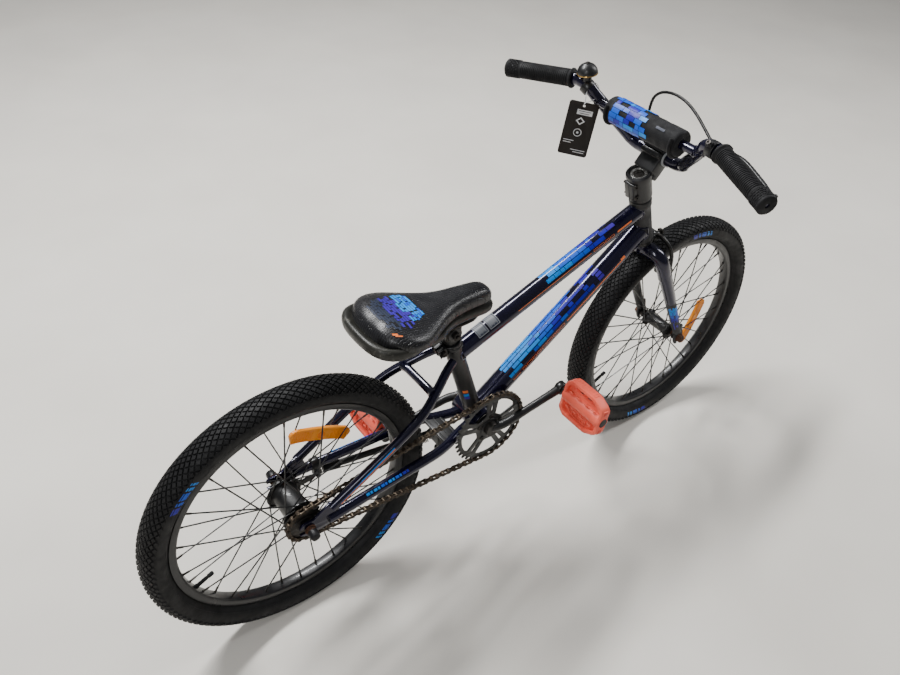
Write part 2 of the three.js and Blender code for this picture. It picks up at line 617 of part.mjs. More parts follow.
const bellSeat = V(677, 132, 774);
const bellUp = V(-0.12, 0.06, 0.99).normalize();
const bellAt = (height) => bellSeat.clone().addScaledVector(bellUp, height);
const bellBand = cut(
  rod(V(679, 124, 769), V(675, 138, 777), 13.5, 14),
  [barFill],
);
const bellDome = turned(bellSeat, bellUp, [
  [0, 10], [8, 10], [8, 23], [17.5, 23], [17.5, 27], [15.5, 33], [11, 38], [5, 40.5], [0, 41],
], 12);
piece('bell', bellBand.add(cut(bellDome, [barFill])), 'satinBlack');
const BELL_LEVER_PIVOT = bellAt(18.6).add(V(-5, 14.5, 0));
const bellLeverAt = (height) => BELL_LEVER_PIVOT.clone().addScaledVector(bellUp, height);
piece('bell_lever', join([
  rod(bellLeverAt(-1.5), bellLeverAt(1.5), 3.5, 8),
  block(BELL_LEVER_PIVOT.clone().add(V(-3, 7, 0.6)), [8, 14, 3]),
]), 'plastic');


// ---------------------------------------------------------------------------------------------------
// Brake lever, cable and side-pull caliper
// ---------------------------------------------------------------------------------------------------

const LEVER_PIVOT = V(706, -150, 766);
const LEVER_AXIS = V(0.24, 0, 0.97).normalize();
const alongPivot = (distance) => LEVER_PIVOT.clone().addScaledVector(LEVER_AXIS, distance);
const LEVER_SLOT = 8.4;
const PIN_RADIUS = 2;
const BARREL_START = LEVER_PIVOT.clone().add(V(0, 4, 0));
const BARREL_END = LEVER_PIVOT.clone().add(V(2, 26, 1));
const leverBracket = join([
  rod(V(673, -141, 777), V(672, -155, 777), 14, 14),
  rod(V(673, -148, 777), LEVER_PIVOT, 7.5, 10),
  rod(alongPivot(-8), alongPivot(8), 8, 12),
  rod(BARREL_START, BARREL_END, 4.5, 10),
]);
const leverForward = LEVER_AXIS.clone().cross(Y_AXIS).negate();
const leverRoom = join([
  rod(alongPivot(-LEVER_SLOT / 2), alongPivot(LEVER_SLOT / 2), 6.5, 12),
  block(LEVER_PIVOT.clone().add(V(4, -14, 0)), [20, 28, LEVER_SLOT], leverForward, LEVER_AXIS),
]);
const leverPin = rod(alongPivot(-7), alongPivot(7), PIN_RADIUS, 8);
piece('lever_bracket', cut(leverBracket, [barFill, leverRoom]).add(leverPin), 'satinBlack');

const bladeRoute = [
  LEVER_PIVOT, V(712, -166, 764), V(711, -184, 762.5), V(701, -210, 759.5),
  V(690, -236, 756), V(681, -256, 752.5), V(680, -264, 751),
];
const leverHub = rod(alongPivot(-3), alongPivot(3), 5.5, 12);
const leverBore = rod(alongPivot(-5), alongPivot(5), PIN_RADIUS + 0.4, 8);
piece('brake_lever', leverHub.add(bentTube(bladeRoute, 2.9, 6, 10)).subtract(leverBore), 'satinBlack');

const cableRoute = [
  LEVER_PIVOT.clone().add(V(2.2, 27, 1.1)), V(712, -112, 769), V(722, -88, 777), V(734, -58, 786),
  V(743, -28, 792), V(749, 2, 792), V(752, 28, 785), V(755, 46, 770), V(759, 54, 748),
  V(763, 56, 720), V(768, 56, 690), V(773, 55, 660), V(778, 53, 630), V(783, 51, 600),
  V(788, 49, 575), steer(34, 46, 322), steer(29, 45, 306), steer(27, 45, 296),
];
piece('brake_cable', bentTube(cableRoute, 2.5, 8, 32), 'rubber');

// One caliper arm: down from the pivot bolt, round the tyre to the rim, and out to the cable at the left
function caliperArm(side, forward, reach) {
  const arc = [
    steer(forward, side * 2, BRAKE_PIVOT_HEIGHT + 2), steer(forward, side * 22, 269),
    steer(forward, side * 34, 258), steer(forward, side * 39, 242), steer(forward, side * 38, 224),
    steer(forward, side * 35, 206), steer(forward, side * 33, 197),
  ];
  const onPivot = (distance) => steer(forward + distance, 0, BRAKE_PIVOT_HEIGHT);
  const boss = rod(onPivot(-4), onPivot(4), 8.5, 14);
  const bore = rod(onPivot(-9), onPivot(9), 3.6, 12);
  const pull = bentTube([
    steer(forward, side * 6, 271), steer(forward, 20, reach[0]), steer(forward, 34, reach[1]),
    steer(forward, 46, reach[2]),
  ], 3.9, 6, 5);
  return cut(join([bentTube(arc, 3.9, 6, 12), boss, pull]), [bore]);
}

const ARM_FORWARD = { left: 25, right: 35 };
const ARM_REACH = { left: [280, 286, 288], right: [276, 278, 277] };
const PAD_CENTRE_HEIGHT = 200.3;
const PAD_FACE_Y = RIM_WIDTH / 2 + 3;

for (const [label, side] of SIDES) {
  piece(`brake_arm_${label}`, caliperArm(side, ARM_FORWARD[label], ARM_REACH[label]), 'blackSteel');
  const centre = steer(FORK_OFFSET - 5, side * (PAD_FACE_Y + 5), PAD_CENTRE_HEIGHT);
  const shoe = join([
    block(centre, [38, 10, 9], STEER_FORWARD, STEER_UP),
    rod(centre, centre.clone().add(V(0, side * 8.6, 0)), 4, 10),
  ]);
  piece(`brake_shoe_${label}`, shoe, 'rubber');
}

// A card tag on a loop round the left side of the bar
const TAG_TOP = V(664, 118, 752);
const TAG_DOWN = V(-0.12, 0.02, -0.99).normalize();
const TAG_ACROSS = V(0.7, -0.71, -0.03);
const tagRight = TAG_ACROSS.clone().addScaledVector(TAG_DOWN, -TAG_ACROSS.dot(TAG_DOWN)).normalize();
const TAG_SIZE = [52, 1, 98];
const tagCentre = TAG_TOP.clone().addScaledVector(TAG_DOWN, TAG_SIZE[2] / 2);
piece('hang_tag', block(tagCentre, TAG_SIZE, tagRight, TAG_DOWN.clone().negate()), 'card');

// ---------------------------------------------------------------------------------------------------
// Wheels
// ---------------------------------------------------------------------------------------------------

const FACET_TURN = Math.PI / WHEEL_SEGMENTS; // puts a flat of the tyre on the ground
const TREAD_RADIUS = WHEEL_RADIUS / Math.cos(FACET_TURN);
const RIM_FLANGE_RADIUS = 209;

const tyreHalf = [
  [BEAD_RADIUS + 1.5, 9], [RIM_FLANGE_RADIUS + 1, 9.4], [218, 21], [230, TYRE_WIDTH / 2],
  [244, 19], [TREAD_RADIUS, 7],
];
const rimHalf = [
  [RIM_INNER_RADIUS, 8], [RIM_FLANGE_RADIUS, RIM_WIDTH / 2],
  [RIM_FLANGE_RADIUS, 9.4 + GAP], [BEAD_RADIUS + 1, 9.4 + GAP],
];
const bothHalves = (half) => [...half.map(([r, y]) => [r, y]), ...half.map(([r, y]) => [r, -y]).reverse()];

const HUB_BORE = 5.4;
const hubs = {
  front: { axle: FRONT_AXLE, flangeRadius: 19.5, barrelRadius: 12.5, flangeY: 29, endY: 36 },
  rear: { axle: REAR_AXLE, flangeRadius: 31, barrelRadius: 22, flangeY: 29, endY: 38 },
};

function hubProfile({ flangeRadius, barrelRadius, flangeY, endY }) {
  return bothHalves([
    [HUB_BORE, endY], [barrelRadius * 0.8, endY], [barrelRadius * 0.8, flangeY + 1.5],
    [flangeRadius, flangeY + 1.5], [flangeRadius, flangeY - 1.5], [barrelRadius, flangeY - 3],
  ]);
}

// The crossed spokes of one side, hooked in the hub flange and ending at the rim
const SPOKE_SWEEP = THREE.MathUtils.degToRad(60);
const RIM_SPOKE_Y = 3;

function spokeSet(hub, side) {
  const spokes = [];
  const holeRadius = hub.flangeRadius - 3;
  for (let i = 0; i < SPOKES_PER_SIDE; i += 1) {
    const turn = (2 * Math.PI * i) / SPOKES_PER_SIDE;
    const lean = i % 2 === 0 ? SPOKE_SWEEP : -SPOKE_SWEEP;
    const half = side > 0 ? 0 : Math.PI / SPOKES_PER_SIDE;
    const hole = V(
      holeRadius * Math.cos(turn + half),
      side * hub.flangeY,
      holeRadius * Math.sin(turn + half),
    );
    const nipple = V(
      RIM_INNER_RADIUS * Math.cos(turn + half + lean),
      side * RIM_SPOKE_Y,
      RIM_INNER_RADIUS * Math.sin(turn + half + lean),
    );
    spokes.push(rod(hole.add(hub.axle), nipple.add(hub.axle), SPOKE_RADIUS, 3));
  }
  const rimFill = turnedY(hub.axle, [
    [RIM_INNER_RADIUS - 2, -20], [RIM_INNER_RADIUS + 20, -20],
    [RIM_INNER_RADIUS + 20, 20], [RIM_INNER_RADIUS - 2, 20],
  ], WHEEL_SEGMENTS, FACET_TURN);
  const flangeFill = rodY(
    hub.axle,
    side * (hub.flangeY - 6),
    side * (hub.flangeY + 6),
    hub.flangeRadius + GAP,
    24,
  );
  return cut(join(spokes), [rimFill, flangeFill]);
}

const reflectors = {
  front: { axle: FRONT_AXLE, radius: 128, turn: THREE.MathUtils.degToRad(-20) },
  rear: { axle: REAR_AXLE, radius: 145, turn: THREE.MathUtils.degToRad(66) },
};

for (const [label, hub] of Object.entries(hubs)) {
  const tyre = turnedY(hub.axle, bothHalves(tyreHalf), WHEEL_SEGMENTS, FACET_TURN);
  const rim = turnedY(hub.axle, bothHalves(rimHalf), WHEEL_SEGMENTS, FACET_TURN);
  piece(`${label}_tyre`, tyre, 'tyreRubber');
  piece(`${label}_rim`, rim, 'blackSteel');
  piece(`${label}_hub`, turnedY(hub.axle, hubProfile(hub), 16), 'blackSteel');
  for (const [sideLabel, side] of SIDES) {
    piece(`${label}_spokes_${sideLabel}`, spokeSet(hub, side), 'blackSteel');
  }
  const { axle, radius, turn } = reflectors[label];
  const outward = V(Math.cos(turn), 0, Math.sin(turn));
  const around = V(-Math.sin(turn), 0, Math.cos(turn));
  const centre = axle.clone().addScaledVector(outward, radius);
  piece(`${label}_reflector`, join([
    block(centre, [112, 7, 22], around, outward),
    block(centre.clone().addScaledVector(outward, 1.5), [90, 7, 27], around, outward),
  ]), 'amber');
}

// Solid axles with cones, locknuts and outer nuts
function axleSolid(axle, dropoutY, endY) {
  const parts = [rodY(axle, -endY, endY, HUB_BORE - 0.6, 12)];
  for (const [, side] of SIDES) {
    parts.push(rodY(axle, side * (dropoutY - 9), side * (dropoutY - GAP), 8.5, 10));
    parts.push(rodY(axle, side * (dropoutY + DROPOUT_THICKNESS + GAP), side * (dropoutY + 14), 8.8, 6));
  }
  return join(parts);
}
piece('front_axle', axleSolid(FRONT_AXLE, FRONT_DROPOUT_Y, 66), 'blackSteel');
piece('rear_axle', join([
  axleSolid(REAR_AXLE, REAR_DROPOUT_Y, 76),
  ...SIDES.map(([, side]) => rodY(REAR_AXLE, side * 68, side * 82, 9.5, 12, 7)),
]), 'blackSteel');

// The brake reaction arm on the left, strapped to the chainstay
const ARM_Y = 45.5;
const strapAt = (t) => V(115, 53, 254.5).lerp(V(46, 57.5, 253), t);
const coasterPlate = plateY(
  [[-12, 242], [0, 238], [40, 229], [66, 231], [66, 241], [42, 241], [14, 262], [-8, 264]],
  ARM_Y - 1.5,
  ARM_Y + 1.5,
);
const strap = join([
  rod(strapAt(0.52), strapAt(0.72), CHAINSTAY_RADIUS + 3, 14),
  block(V(68, 49, 237), [10, 10, 10]),
]);
piece('coaster_arm', cut(coasterPlate.add(strap), [
  rodY(REAR_AXLE, 30, 60, HUB_BORE + 3.6, 12),
  rod(strapAt(0.4), strapAt(0.84), CHAINSTAY_RADIUS + 0.5, 14),
]), 'blackSteel');

// ---------------------------------------------------------------------------------------------------
// Drive
// ---------------------------------------------------------------------------------------------------

const RING_PITCH_RADIUS = pitchRadius(RING_TEETH);
const COG_PITCH_RADIUS = pitchRadius(COG_TEETH);

// Outline of a toothed wheel about the origin, as [x, z]
function toothedOutline(teeth) {
  const pitch = pitchRadius(teeth);
  const points = [];
  for (let i = 0; i < teeth; i += 1) {
    for (const [share, rise] of [[-0.36, -3.6], [-0.12, 4], [0.12, 4], [0.36, -3.6]]) {
      const turn = (2 * Math.PI * (i + share)) / teeth;
      points.push([(pitch + rise) * Math.cos(turn), (pitch + rise) * Math.sin(turn)]);
    }
  }
  return points;
}

function toothedDisc(centre, teeth, tools) {
  const outline = toothedOutline(teeth).map(([x, z]) => [x + centre.x, z + centre.z]);
  const disc = plateY(outline, CHAIN_LINE_Y - TOOTH_THICKNESS / 2, CHAIN_LINE_Y + TOOTH_THICKNESS / 2);
  return cut(disc, tools);
}

const RING_ARMS = 5;
const ringWindows = [];
for (let i = 0; i < RING_ARMS; i += 1) {
  const turn = CRANK_REST_ANGLE + (2 * Math.PI * (i + 0.5)) / RING_ARMS;
  const spread = THREE.MathUtils.degToRad(24);
  const corners = [
    [60, -spread], [63, -spread / 2], [63, spread / 2], [60, spread],
    [31, spread * 0.7], [28, 0], [31, -spread * 0.7],
  ];
  const outline = corners.map(([radius, offset]) => [
    BB.x + radius * Math.cos(turn + offset),
    BB.z + radius * Math.sin(turn + offset),
  ]);
  ringWindows.push(plateY(outline, CHAIN_LINE_Y - 5, CHAIN_LINE_Y + 5));
}
const axleHole = rodY(BB, -60, -30, 12.4, 16);
piece('chainring', toothedDisc(BB, RING_TEETH, [...ringWindows, axleHole]), 'blackSteel');

const cogHub = rodY(REAR_AXLE, CHAIN_LINE_Y - 2.4, -(hubs.rear.endY + GAP), 17, 16);
piece('rear_cog', cut(
  toothedDisc(REAR_AXLE, COG_TEETH, []).add(cogHub),
  [rodY(REAR_AXLE, -60, -30, HUB_BORE + 3.6, 14)],
), 'blackSteel');

const crankDirection = V(Math.cos(CRANK_REST_ANGLE), 0, Math.sin(CRANK_REST_ANGLE));
const pedalCentre = (side) => BB.clone()
  .addScaledVector(crankDirection, -side * CRANK_LENGTH)
  .add(V(0, side * (PEDAL_INNER_Y + PEDAL_LENGTH / 2), 0));

function crankArm(side) {
  const route = [[4, 52], [15, 57.5], [34, 61.5], [80, 65], [CRANK_LENGTH - 8, 70]].map(([out, y]) => (
    BB.clone().addScaledVector(crankDirection, -side * out).add(V(0, side * y, 0))
  ));
  const boss = BB.clone().addScaledVector(crankDirection, -side * CRANK_LENGTH);
  const bossRod = rodY(boss, side * 63, side * 77, 12, 16);
  return join([bentTube(route, 7.8, 6, 7), bossRod]);
}

const crank = join([
  rodY(BB, -54, 54, AXLE_RADIUS, 12),
  rodY(BB, CHAIN_LINE_Y - 1.6 - GAP, -54, 14, 16),
  rodY(BB, CHAIN_LINE_Y + 1.6, CHAIN_LINE_Y + 4.6, 14, 16),
  crankArm(1),
  crankArm(-1),
]);
const spindleHoles = SIDES.map(([, side]) => rodY(pedalCentre(side), side * 50, side * 90, 6.8, 12));
piece('crank', cut(crank, spindleHoles), 'blackSteel');

const pedalAcross = V(Math.cos(PEDAL_REST_TILT), 0, Math.sin(PEDAL_REST_TILT));
const pedalUp = V(-Math.sin(PEDAL_REST_TILT), 0, Math.cos(PEDAL_REST_TILT));
for (const [label, side] of SIDES) {
  const centre = pedalCentre(side);
  const platform = join([
    block(centre, [PEDAL_WIDTH, PEDAL_LENGTH - 14, PEDAL_HEIGHT - 4], pedalAcross, pedalUp),
    block(centre, [PEDAL_WIDTH - 22, PEDAL_LENGTH, PEDAL_HEIGHT - 4], pedalAcross, pedalUp),
    rodY(centre, side * PEDAL_INNER_Y, side * (PEDAL_INNER_Y + PEDAL_LENGTH), PEDAL_HEIGHT / 2, 14),
    rodY(centre, side * 64, side * (PEDAL_INNER_Y + 5), 6.2, 10),
  ]);
  const slots = [-1, 1].map((end) => block(
    centre.clone().addScaledVector(pedalAcross, end * 23),
    [12, PEDAL_LENGTH - 36, PEDAL_HEIGHT * 2],
    pedalAcross,
    pedalUp,
  ));
  piece(`pedal_${label}`, cut(platform, slots), 'coral');
}

// The chain as two side bands that follow the pitch line, tied by rollers along the straight runs
const runDirection = BB.clone().sub(REAR_AXLE);
const runLength = runDirection.length();
const runTilt = Math.atan2(runDirection.z, runDirection.x);
const wrap = Math.acos((RING_PITCH_RADIUS - COG_PITCH_RADIUS) / runLength);

// The closed loop at a distance outside the pitch line, as [x, z]
function chainLoop(offset) {
  const points = [];
  const arc = (centre, radius, from, to, steps) => {
    for (let i = 0; i <= steps; i += 1) {
      const turn = from + ((to - from) * i) / steps;
      points.push([centre.x + radius * Math.cos(turn), centre.z + radius * Math.sin(turn)]);
    }
  };
  arc(BB, RING_PITCH_RADIUS + offset, runTilt - Math.PI + wrap, runTilt + Math.PI - wrap, 16);
  arc(REAR_AXLE, COG_PITCH_RADIUS + offset, runTilt + Math.PI - wrap, runTilt + Math.PI + wrap, 8);
  return points;
}

const BAND_HALF = 4;
const loopHole = new THREE.Path(chainLoop(-BAND_HALF).map(([x, z]) => new THREE.Vector2(x, z)));
const chainParts = [[-3.8, -2.4], [2.4, 3.8]].map(([near, far]) => (
  plateY(chainLoop(BAND_HALF), CHAIN_LINE_Y + near, CHAIN_LINE_Y + far, [loopHole])
));
for (const bend of [1, -1]) {
  const turn = runTilt + bend * (Math.PI - wrap);
  const leave = V(Math.cos(turn), 0, Math.sin(turn));
  const fromRing = BB.clone().addScaledVector(leave, RING_PITCH_RADIUS);
  const toCog = REAR_AXLE.clone().addScaledVector(leave, COG_PITCH_RADIUS);
  const straight = toCog.clone().sub(fromRing);
  const links = Math.floor(straight.length() / CHAIN_PITCH);
  for (let i = 3; i < links - 2; i += 4) {
    const place = fromRing.clone().addScaledVector(straight, (i * CHAIN_PITCH) / straight.length());
    chainParts.push(rodY(place, CHAIN_LINE_Y - 3, CHAIN_LINE_Y + 3, 3.2, 6));
  }
}
piece('chain', join(chainParts), 'chainSteel');

export default bike;
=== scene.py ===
"""Looks for the child's BMX bike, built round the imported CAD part.

Places are given in the build frame of the CAD: millimetres, with the origin on the ground under the
rear axle, X forward, Y to the rider's left and Z up.  Each finished piece is moved to the row frame.
"""

import math
import random

import bmesh
import bpy
from mathutils import Matrix, Vector


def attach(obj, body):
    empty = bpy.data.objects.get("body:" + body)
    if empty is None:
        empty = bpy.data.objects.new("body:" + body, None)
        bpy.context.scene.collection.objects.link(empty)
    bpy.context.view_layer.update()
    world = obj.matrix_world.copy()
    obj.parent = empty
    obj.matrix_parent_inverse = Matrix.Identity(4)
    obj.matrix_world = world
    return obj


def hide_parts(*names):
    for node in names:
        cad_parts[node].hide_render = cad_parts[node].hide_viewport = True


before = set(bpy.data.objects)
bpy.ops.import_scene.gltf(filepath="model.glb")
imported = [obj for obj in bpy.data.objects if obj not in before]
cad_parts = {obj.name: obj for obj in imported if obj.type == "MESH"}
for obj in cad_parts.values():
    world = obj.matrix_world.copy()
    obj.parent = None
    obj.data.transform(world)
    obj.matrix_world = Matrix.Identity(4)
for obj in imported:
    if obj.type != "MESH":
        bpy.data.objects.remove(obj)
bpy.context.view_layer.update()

X_AXIS, Y_AXIS, Z_AXIS = Vector((1, 0, 0)), Vector((0, 1, 0)), Vector((0, 0, 1))
SIDES = (("left", 1), ("right", -1))

# Dimensions shared with the CAD, in millimetres
WHEELBASE = 877.0
WHEEL_RADIUS = 252.0
RIM_INNER_RADIUS = 195.5
HEAD_ANGLE = math.radians(71)
FORK_OFFSET = 35.0
SEAT_ANGLE = math.radians(72)
CHAIN_Y = -46.0
CHAIN_PITCH = 12.7
CHAIN_LINKS = 86
RING_TEETH = 36
COG_TEETH = 16
CRANK_LENGTH = 152.0
CRANK_ANGLE = math.radians(15)
PEDAL_INNER_Y = 85.0
PEDAL_LENGTH = 95.0
PEDAL_TILT = math.radians(80)
HEAD_TUBE_RADIUS = 18.5
SEAT_TUBE_RADIUS = 15.9
POST_RADIUS = 13.6
TOP_TUBE_RADIUS = 16.5
DOWN_TUBE_RADIUS = 20.5
SHELL_RADIUS = 25.0
SHELL_HALF_WIDTH = 34.0
BAR_RADIUS = 11.1
SPOKES_PER_SIDE = 18
SPOKE_LEAN = math.radians(60)
VALVE_TURN = math.radians(205)
CROSSBAR_RADIUS = 8.0
CHAINSTAY_RADIUS = 9.0
SEATSTAY_RADIUS = 8.0
SPOKE_RADIUS = 1.25
WHEEL_SEGMENTS = 144
STEM_CLAMP_WIDTH = 42.0
CALIPER_UP = 268.0
CABLE_ANCHOR_OUT = 46.0
PAD_HALF_LENGTH = 79.0
PAD_RADIUS = 22.2


def V(x, y, z):
    return Vector((x, y, z))


REAR_AXLE = V(0, 0, WHEEL_RADIUS)
FRONT_AXLE = V(WHEELBASE, 0, WHEEL_RADIUS)
BB = V(373, 0, 262)
STEER_UP = V(-math.cos(HEAD_ANGLE), 0, math.sin(HEAD_ANGLE))
STEER_FORWARD = V(math.sin(HEAD_ANGLE), 0, math.cos(HEAD_ANGLE))
STEER_FOOT = FRONT_AXLE - FORK_OFFSET * STEER_FORWARD
SEAT_UP = V(-math.cos(SEAT_ANGLE), 0, math.sin(SEAT_ANGLE))
BAR_CENTRE = V(737, 0, 688)
GRIP_INNER = V(673.5, 163, 777)
GRIP_OUTER = V(629.5, 286, 761.5)
PAD_CENTRE = V(690, 0, 751)
BAR_BEND_LOW = (724, 71, 707)
BAR_BEND_HIGH = (690, 117, 757)
CHAINSTAY_BEND = (185, 48.6, 256)
CHAINSTAY_NEAR = (115, 53, 254.5)
CHAINSTAY_END = (46, 57.5, 253)


def steer(forward, left, up):
    """A point in the steering frame: forward of the axis, to its left, and up along it."""
    return STEER_FOOT + forward * STEER_FORWARD + left * Y_AXIS + up * STEER_UP


def on_seat_tube(up):
    return BB + up * SEAT_UP


def sided(point, side):
    return V(point[0], side * point[1], point[2])


def blend(first, second, turn):
    """The direction an angle round from one unit vector towards another."""
    return math.cos(turn) * first + math.sin(turn) * second


def facing(turn):
    """A unit vector square to Y, turned from forward towards up."""
    return V(math.cos(turn), 0, math.sin(turn))


def arc(radius, first, step, count, centre=(0, 0)):
    """Points on a circle in a plane, from a first angle on, in degrees."""
    turns = [math.radians(first + step * k) for k in range(count)]
    return [(centre[0] + radius * math.cos(t), centre[1] + radius * math.sin(t)) for t in turns]


def pitch_radius(teeth):
    return CHAIN_PITCH / (2 * math.sin(math.pi / teeth))


# ------------------------------------------------------------------------------------------------
# Mesh building
# ------------------------------------------------------------------------------------------------


def across(direction):
    """Two unit vectors square to a direction and to each other."""
    direction = direction.normalized()
    helper = Z_AXIS if abs(direction.z) < 0.9 else X_AXIS
    first = direction.cross(helper).normalized()
    return first, direction.cross(first).normalized()


def smooth_path(points, per=8):
    """Points along a Catmull-Rom curve through the given ones, which may carry a radius as a 4th number."""
    points = [Vector(p) for p in points]
    if len(points) == 2:
        return points
    ends = [2 * points[0] - points[1]] + points + [2 * points[-1] - points[-2]]
    path = []
    for i in range(1, len(ends) - 2):
        a, b, c, d = ends[i - 1 : i + 3]
        for step in range(per):
            t = step / per
            path.append(
                0.5 * (
                    2 * b
                    + (c - a) * t
                    + (2 * a - 5 * b + 4 * c - d) * t**2
                    + (3 * b - a - 3 * c + d) * t**3
                )
            )
    return path + [points[-1]]


class Piece:
    """Collects surfaces, then becomes one object that rides on a CAD body."""

    def __init__(self, name):
        self.name = name
        self.bm = bmesh.new()
        self.materials = []

    def slot_of(self, material):
        if material not in self.materials:
            self.materials.append(material)
        return self.materials.index(material)

    def grid(self, rings, material, closed=False, capped=True, wrap=True):
        """A skin over rings of points; closed joins the last ring to the first."""
        index = self.slot_of(material)
        rows = [[self.bm.verts.new(p) for p in ring] for ring in rings]
        pairs = list(zip(rows, rows[1:])) + ([(rows[-1], rows[0])] if closed else [])
        for low, high in pairs:
            if len(low) == 1 or len(high) == 1:
                self.fan(low, high, index)
                continue
            count = len(low)
            for i in range(count if wrap else count - 1):
                j = (i + 1) % count
                self.bm.faces.new((low[i], low[j], high[j], high[i])).material_index = index
        if capped and not closed and wrap:
            for row in (rows[0], rows[-1]):
                if len(row) > 2:
                    self.bm.faces.new(row).material_index = index

    def fan(self, low, high, index):
        tip, ring = (low[0], high) if len(low) == 1 else (high[0], low)
        for i, vertex in enumerate(ring):
            face = self.bm.faces.new((tip, vertex, ring[(i + 1) % len(ring)]))
            face.material_index = index

    def tube(self, points, radius, material, sides=20, per=8, flat=1.0, flat_axis=None, closed=False):
        """A round bar along a smooth path; flat squeezes it along flat_axis."""
        route = [Vector((*p, radius)) if len(p) == 3 else Vector(p) for p in points]
        if closed:
            route = route + [route[0]]
        path = smooth_path(route, per)
        if closed:
            path = path[:-1]
        centres = [p.to_3d() for p in path]
        count = len(centres)
        rings = []
        normal = None
        for i, centre in enumerate(centres):
            ahead = centres[(i + 1) % count] if closed else centres[min(i + 1, count - 1)]
            behind = centres[i - 1] if closed else centres[max(i - 1, 0)]
            tangent = (ahead - behind).normalized()
            if normal is None:
                normal = across(tangent)[0]
            normal = (normal - normal.dot(tangent) * tangent).normalized()
            other = tangent.cross(normal)
            ring = []
            for k in range(sides):
                turn = 2 * math.pi * k / sides
                arm = path[i][3] * blend(normal, other, turn)
                if flat_axis is not None:
                    arm -= (1 - flat) * arm.dot(flat_axis) * flat_axis
                ring.append(centre + arm)
            rings.append(ring)
        self.grid(rings, material, closed=closed)

    def turned(self, origin, axis, profile, material, segments=48, closed=False):
        """A surface of revolution; the profile lists (radius, distance along the axis)."""
        axis = axis.normalized()
        first, second = across(axis)
        rings = []
        for radius, height in profile:
            centre = origin + height * axis
            if radius < 1e-6:
                rings.append([centre])
                continue
            rings.append(
                [
                    centre + radius * blend(first, second, t)
                    for t in (2 * math.pi * k / segments for k in range(segments))
                ]
            )
        self.grid(rings, material, closed=closed)

    def rod(self, origin, axis, radius, ends, material, segments):
        """A plain round bar between two distances along an axis."""
        low, high = ends
        profile = [(0, low), (radius, low), (radius, high), (0, high)]
        self.turned(origin, axis, profile, material, segments)

    def block(self, centre, size, material, right=X_AXIS, up=Z_AXIS, bevel=1.0, rounds=2):
        """A box with rounded edges."""
        index = self.slot_of(material)
        right = right.normalized()
        up = (up - up.dot(right) * right).normalized()
        back = up.cross(right)
        box = bmesh.new()
        bmesh.ops.create_cube(box, size=1)
        axes = (right * size[0], back * size[1], up * size[2])
        for vertex in box.verts:
            co = vertex.co.copy()
            vertex.co = centre + co.x * axes[0] + co.y * axes[1] + co.z * axes[2]
        if bevel:
            bmesh.ops.bevel(
                box, geom=box.edges[:], offset=bevel, segments=rounds, affect="EDGES", profile=0.5
            )
        self.take(box, index)

    def take(self, other, index):
        """Copies another bmesh in, without any face that is there twice, and frees it."""
        copies = {v: self.bm.verts.new(v.co) for v in other.verts}
        for face in other.faces:
            try:
                self.bm.faces.new([copies[v] for v in face.verts]).material_index = index
            except ValueError:
                continue
        other.free()

    def plate(self, outline, thickness, origin, right, up, material, holes=(), bevel=0.4):
        """A flat part with rounded edges, from an outline in its own plane, centred on its thickness."""
        index = self.slot_of(material)
        curve = bpy.data.curves.new("outline", "CURVE")
        curve.dimensions = "2D"
        curve.fill_mode = "BOTH"
        curve.extrude = thickness / 2 - bevel
        curve.bevel_depth = bevel
        curve.bevel_resolution = 1
        curve.offset = -bevel
        for loop in (outline, *holes):
            spline = curve.splines.new("POLY")
            spline.points.add(len(loop) - 1)
            for point, (x, y) in zip(spline.points, loop):
                point.co = (x, y, 0, 1)
            spline.use_cyclic_u = True
        carrier = bpy.data.objects.new("outline", curve)
        flat = bpy.data.meshes.new_from_object(carrier)
        right = right.normalized()
        up = up.normalized()
        out = right.cross(up)
        other = bmesh.new()
        other.from_mesh(flat)
        bmesh.ops.remove_doubles(other, verts=other.verts[:], dist=1e-3)
        for vertex in other.verts:
            vertex.co = origin + vertex.co.x * right + vertex.co.y * up + vertex.co.z * out
        self.take(other, index)
        bpy.data.objects.remove(carrier)
        bpy.data.curves.remove(curve)
        bpy.data.meshes.remove(flat)

    def hexagon(self, centre, axis, width, height, material):
        """A hexagon nut or bolt head with eased corners, its base at the centre point."""
        radius = width / math.sqrt(3)
        self.turned(
            centre, axis,
            [(0, 0), (radius, 0), (radius, height * 0.85), (radius * 0.9, height), (0, height)], material,
            segments=6,
        )

    def finish(self, body, slot, *nodes, sharp=40):
        """Makes the object, moves it to the row frame, ties it to its body and hides the CAD nodes it
        replaces.
        """
        bmesh.ops.recalc_face_normals(self.bm, faces=self.bm.faces[:])
        to_row = Matrix.Scale(0.001, 4) @ Matrix.Translation((-WHEELBASE / 2, 0, 0))
        bmesh.ops.transform(self.bm, matrix=to_row, verts=self.bm.verts[:])
        mesh = bpy.data.meshes.new(self.name)
        self.bm.to_mesh(mesh)
        self.bm.free()
        for material in self.materials:
            mesh.materials.append(material)
        mesh.shade_smooth()
        mesh.set_sharp_from_angle(angle=math.radians(sharp))
        made = bpy.data.objects.new(self.name, mesh)
        bpy.context.scene.collection.objects.link(made)
        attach(made, body)
        if nodes:
            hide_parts(*nodes)
        return made


# ------------------------------------------------------------------------------------------------
# Materials
# ------------------------------------------------------------------------------------------------


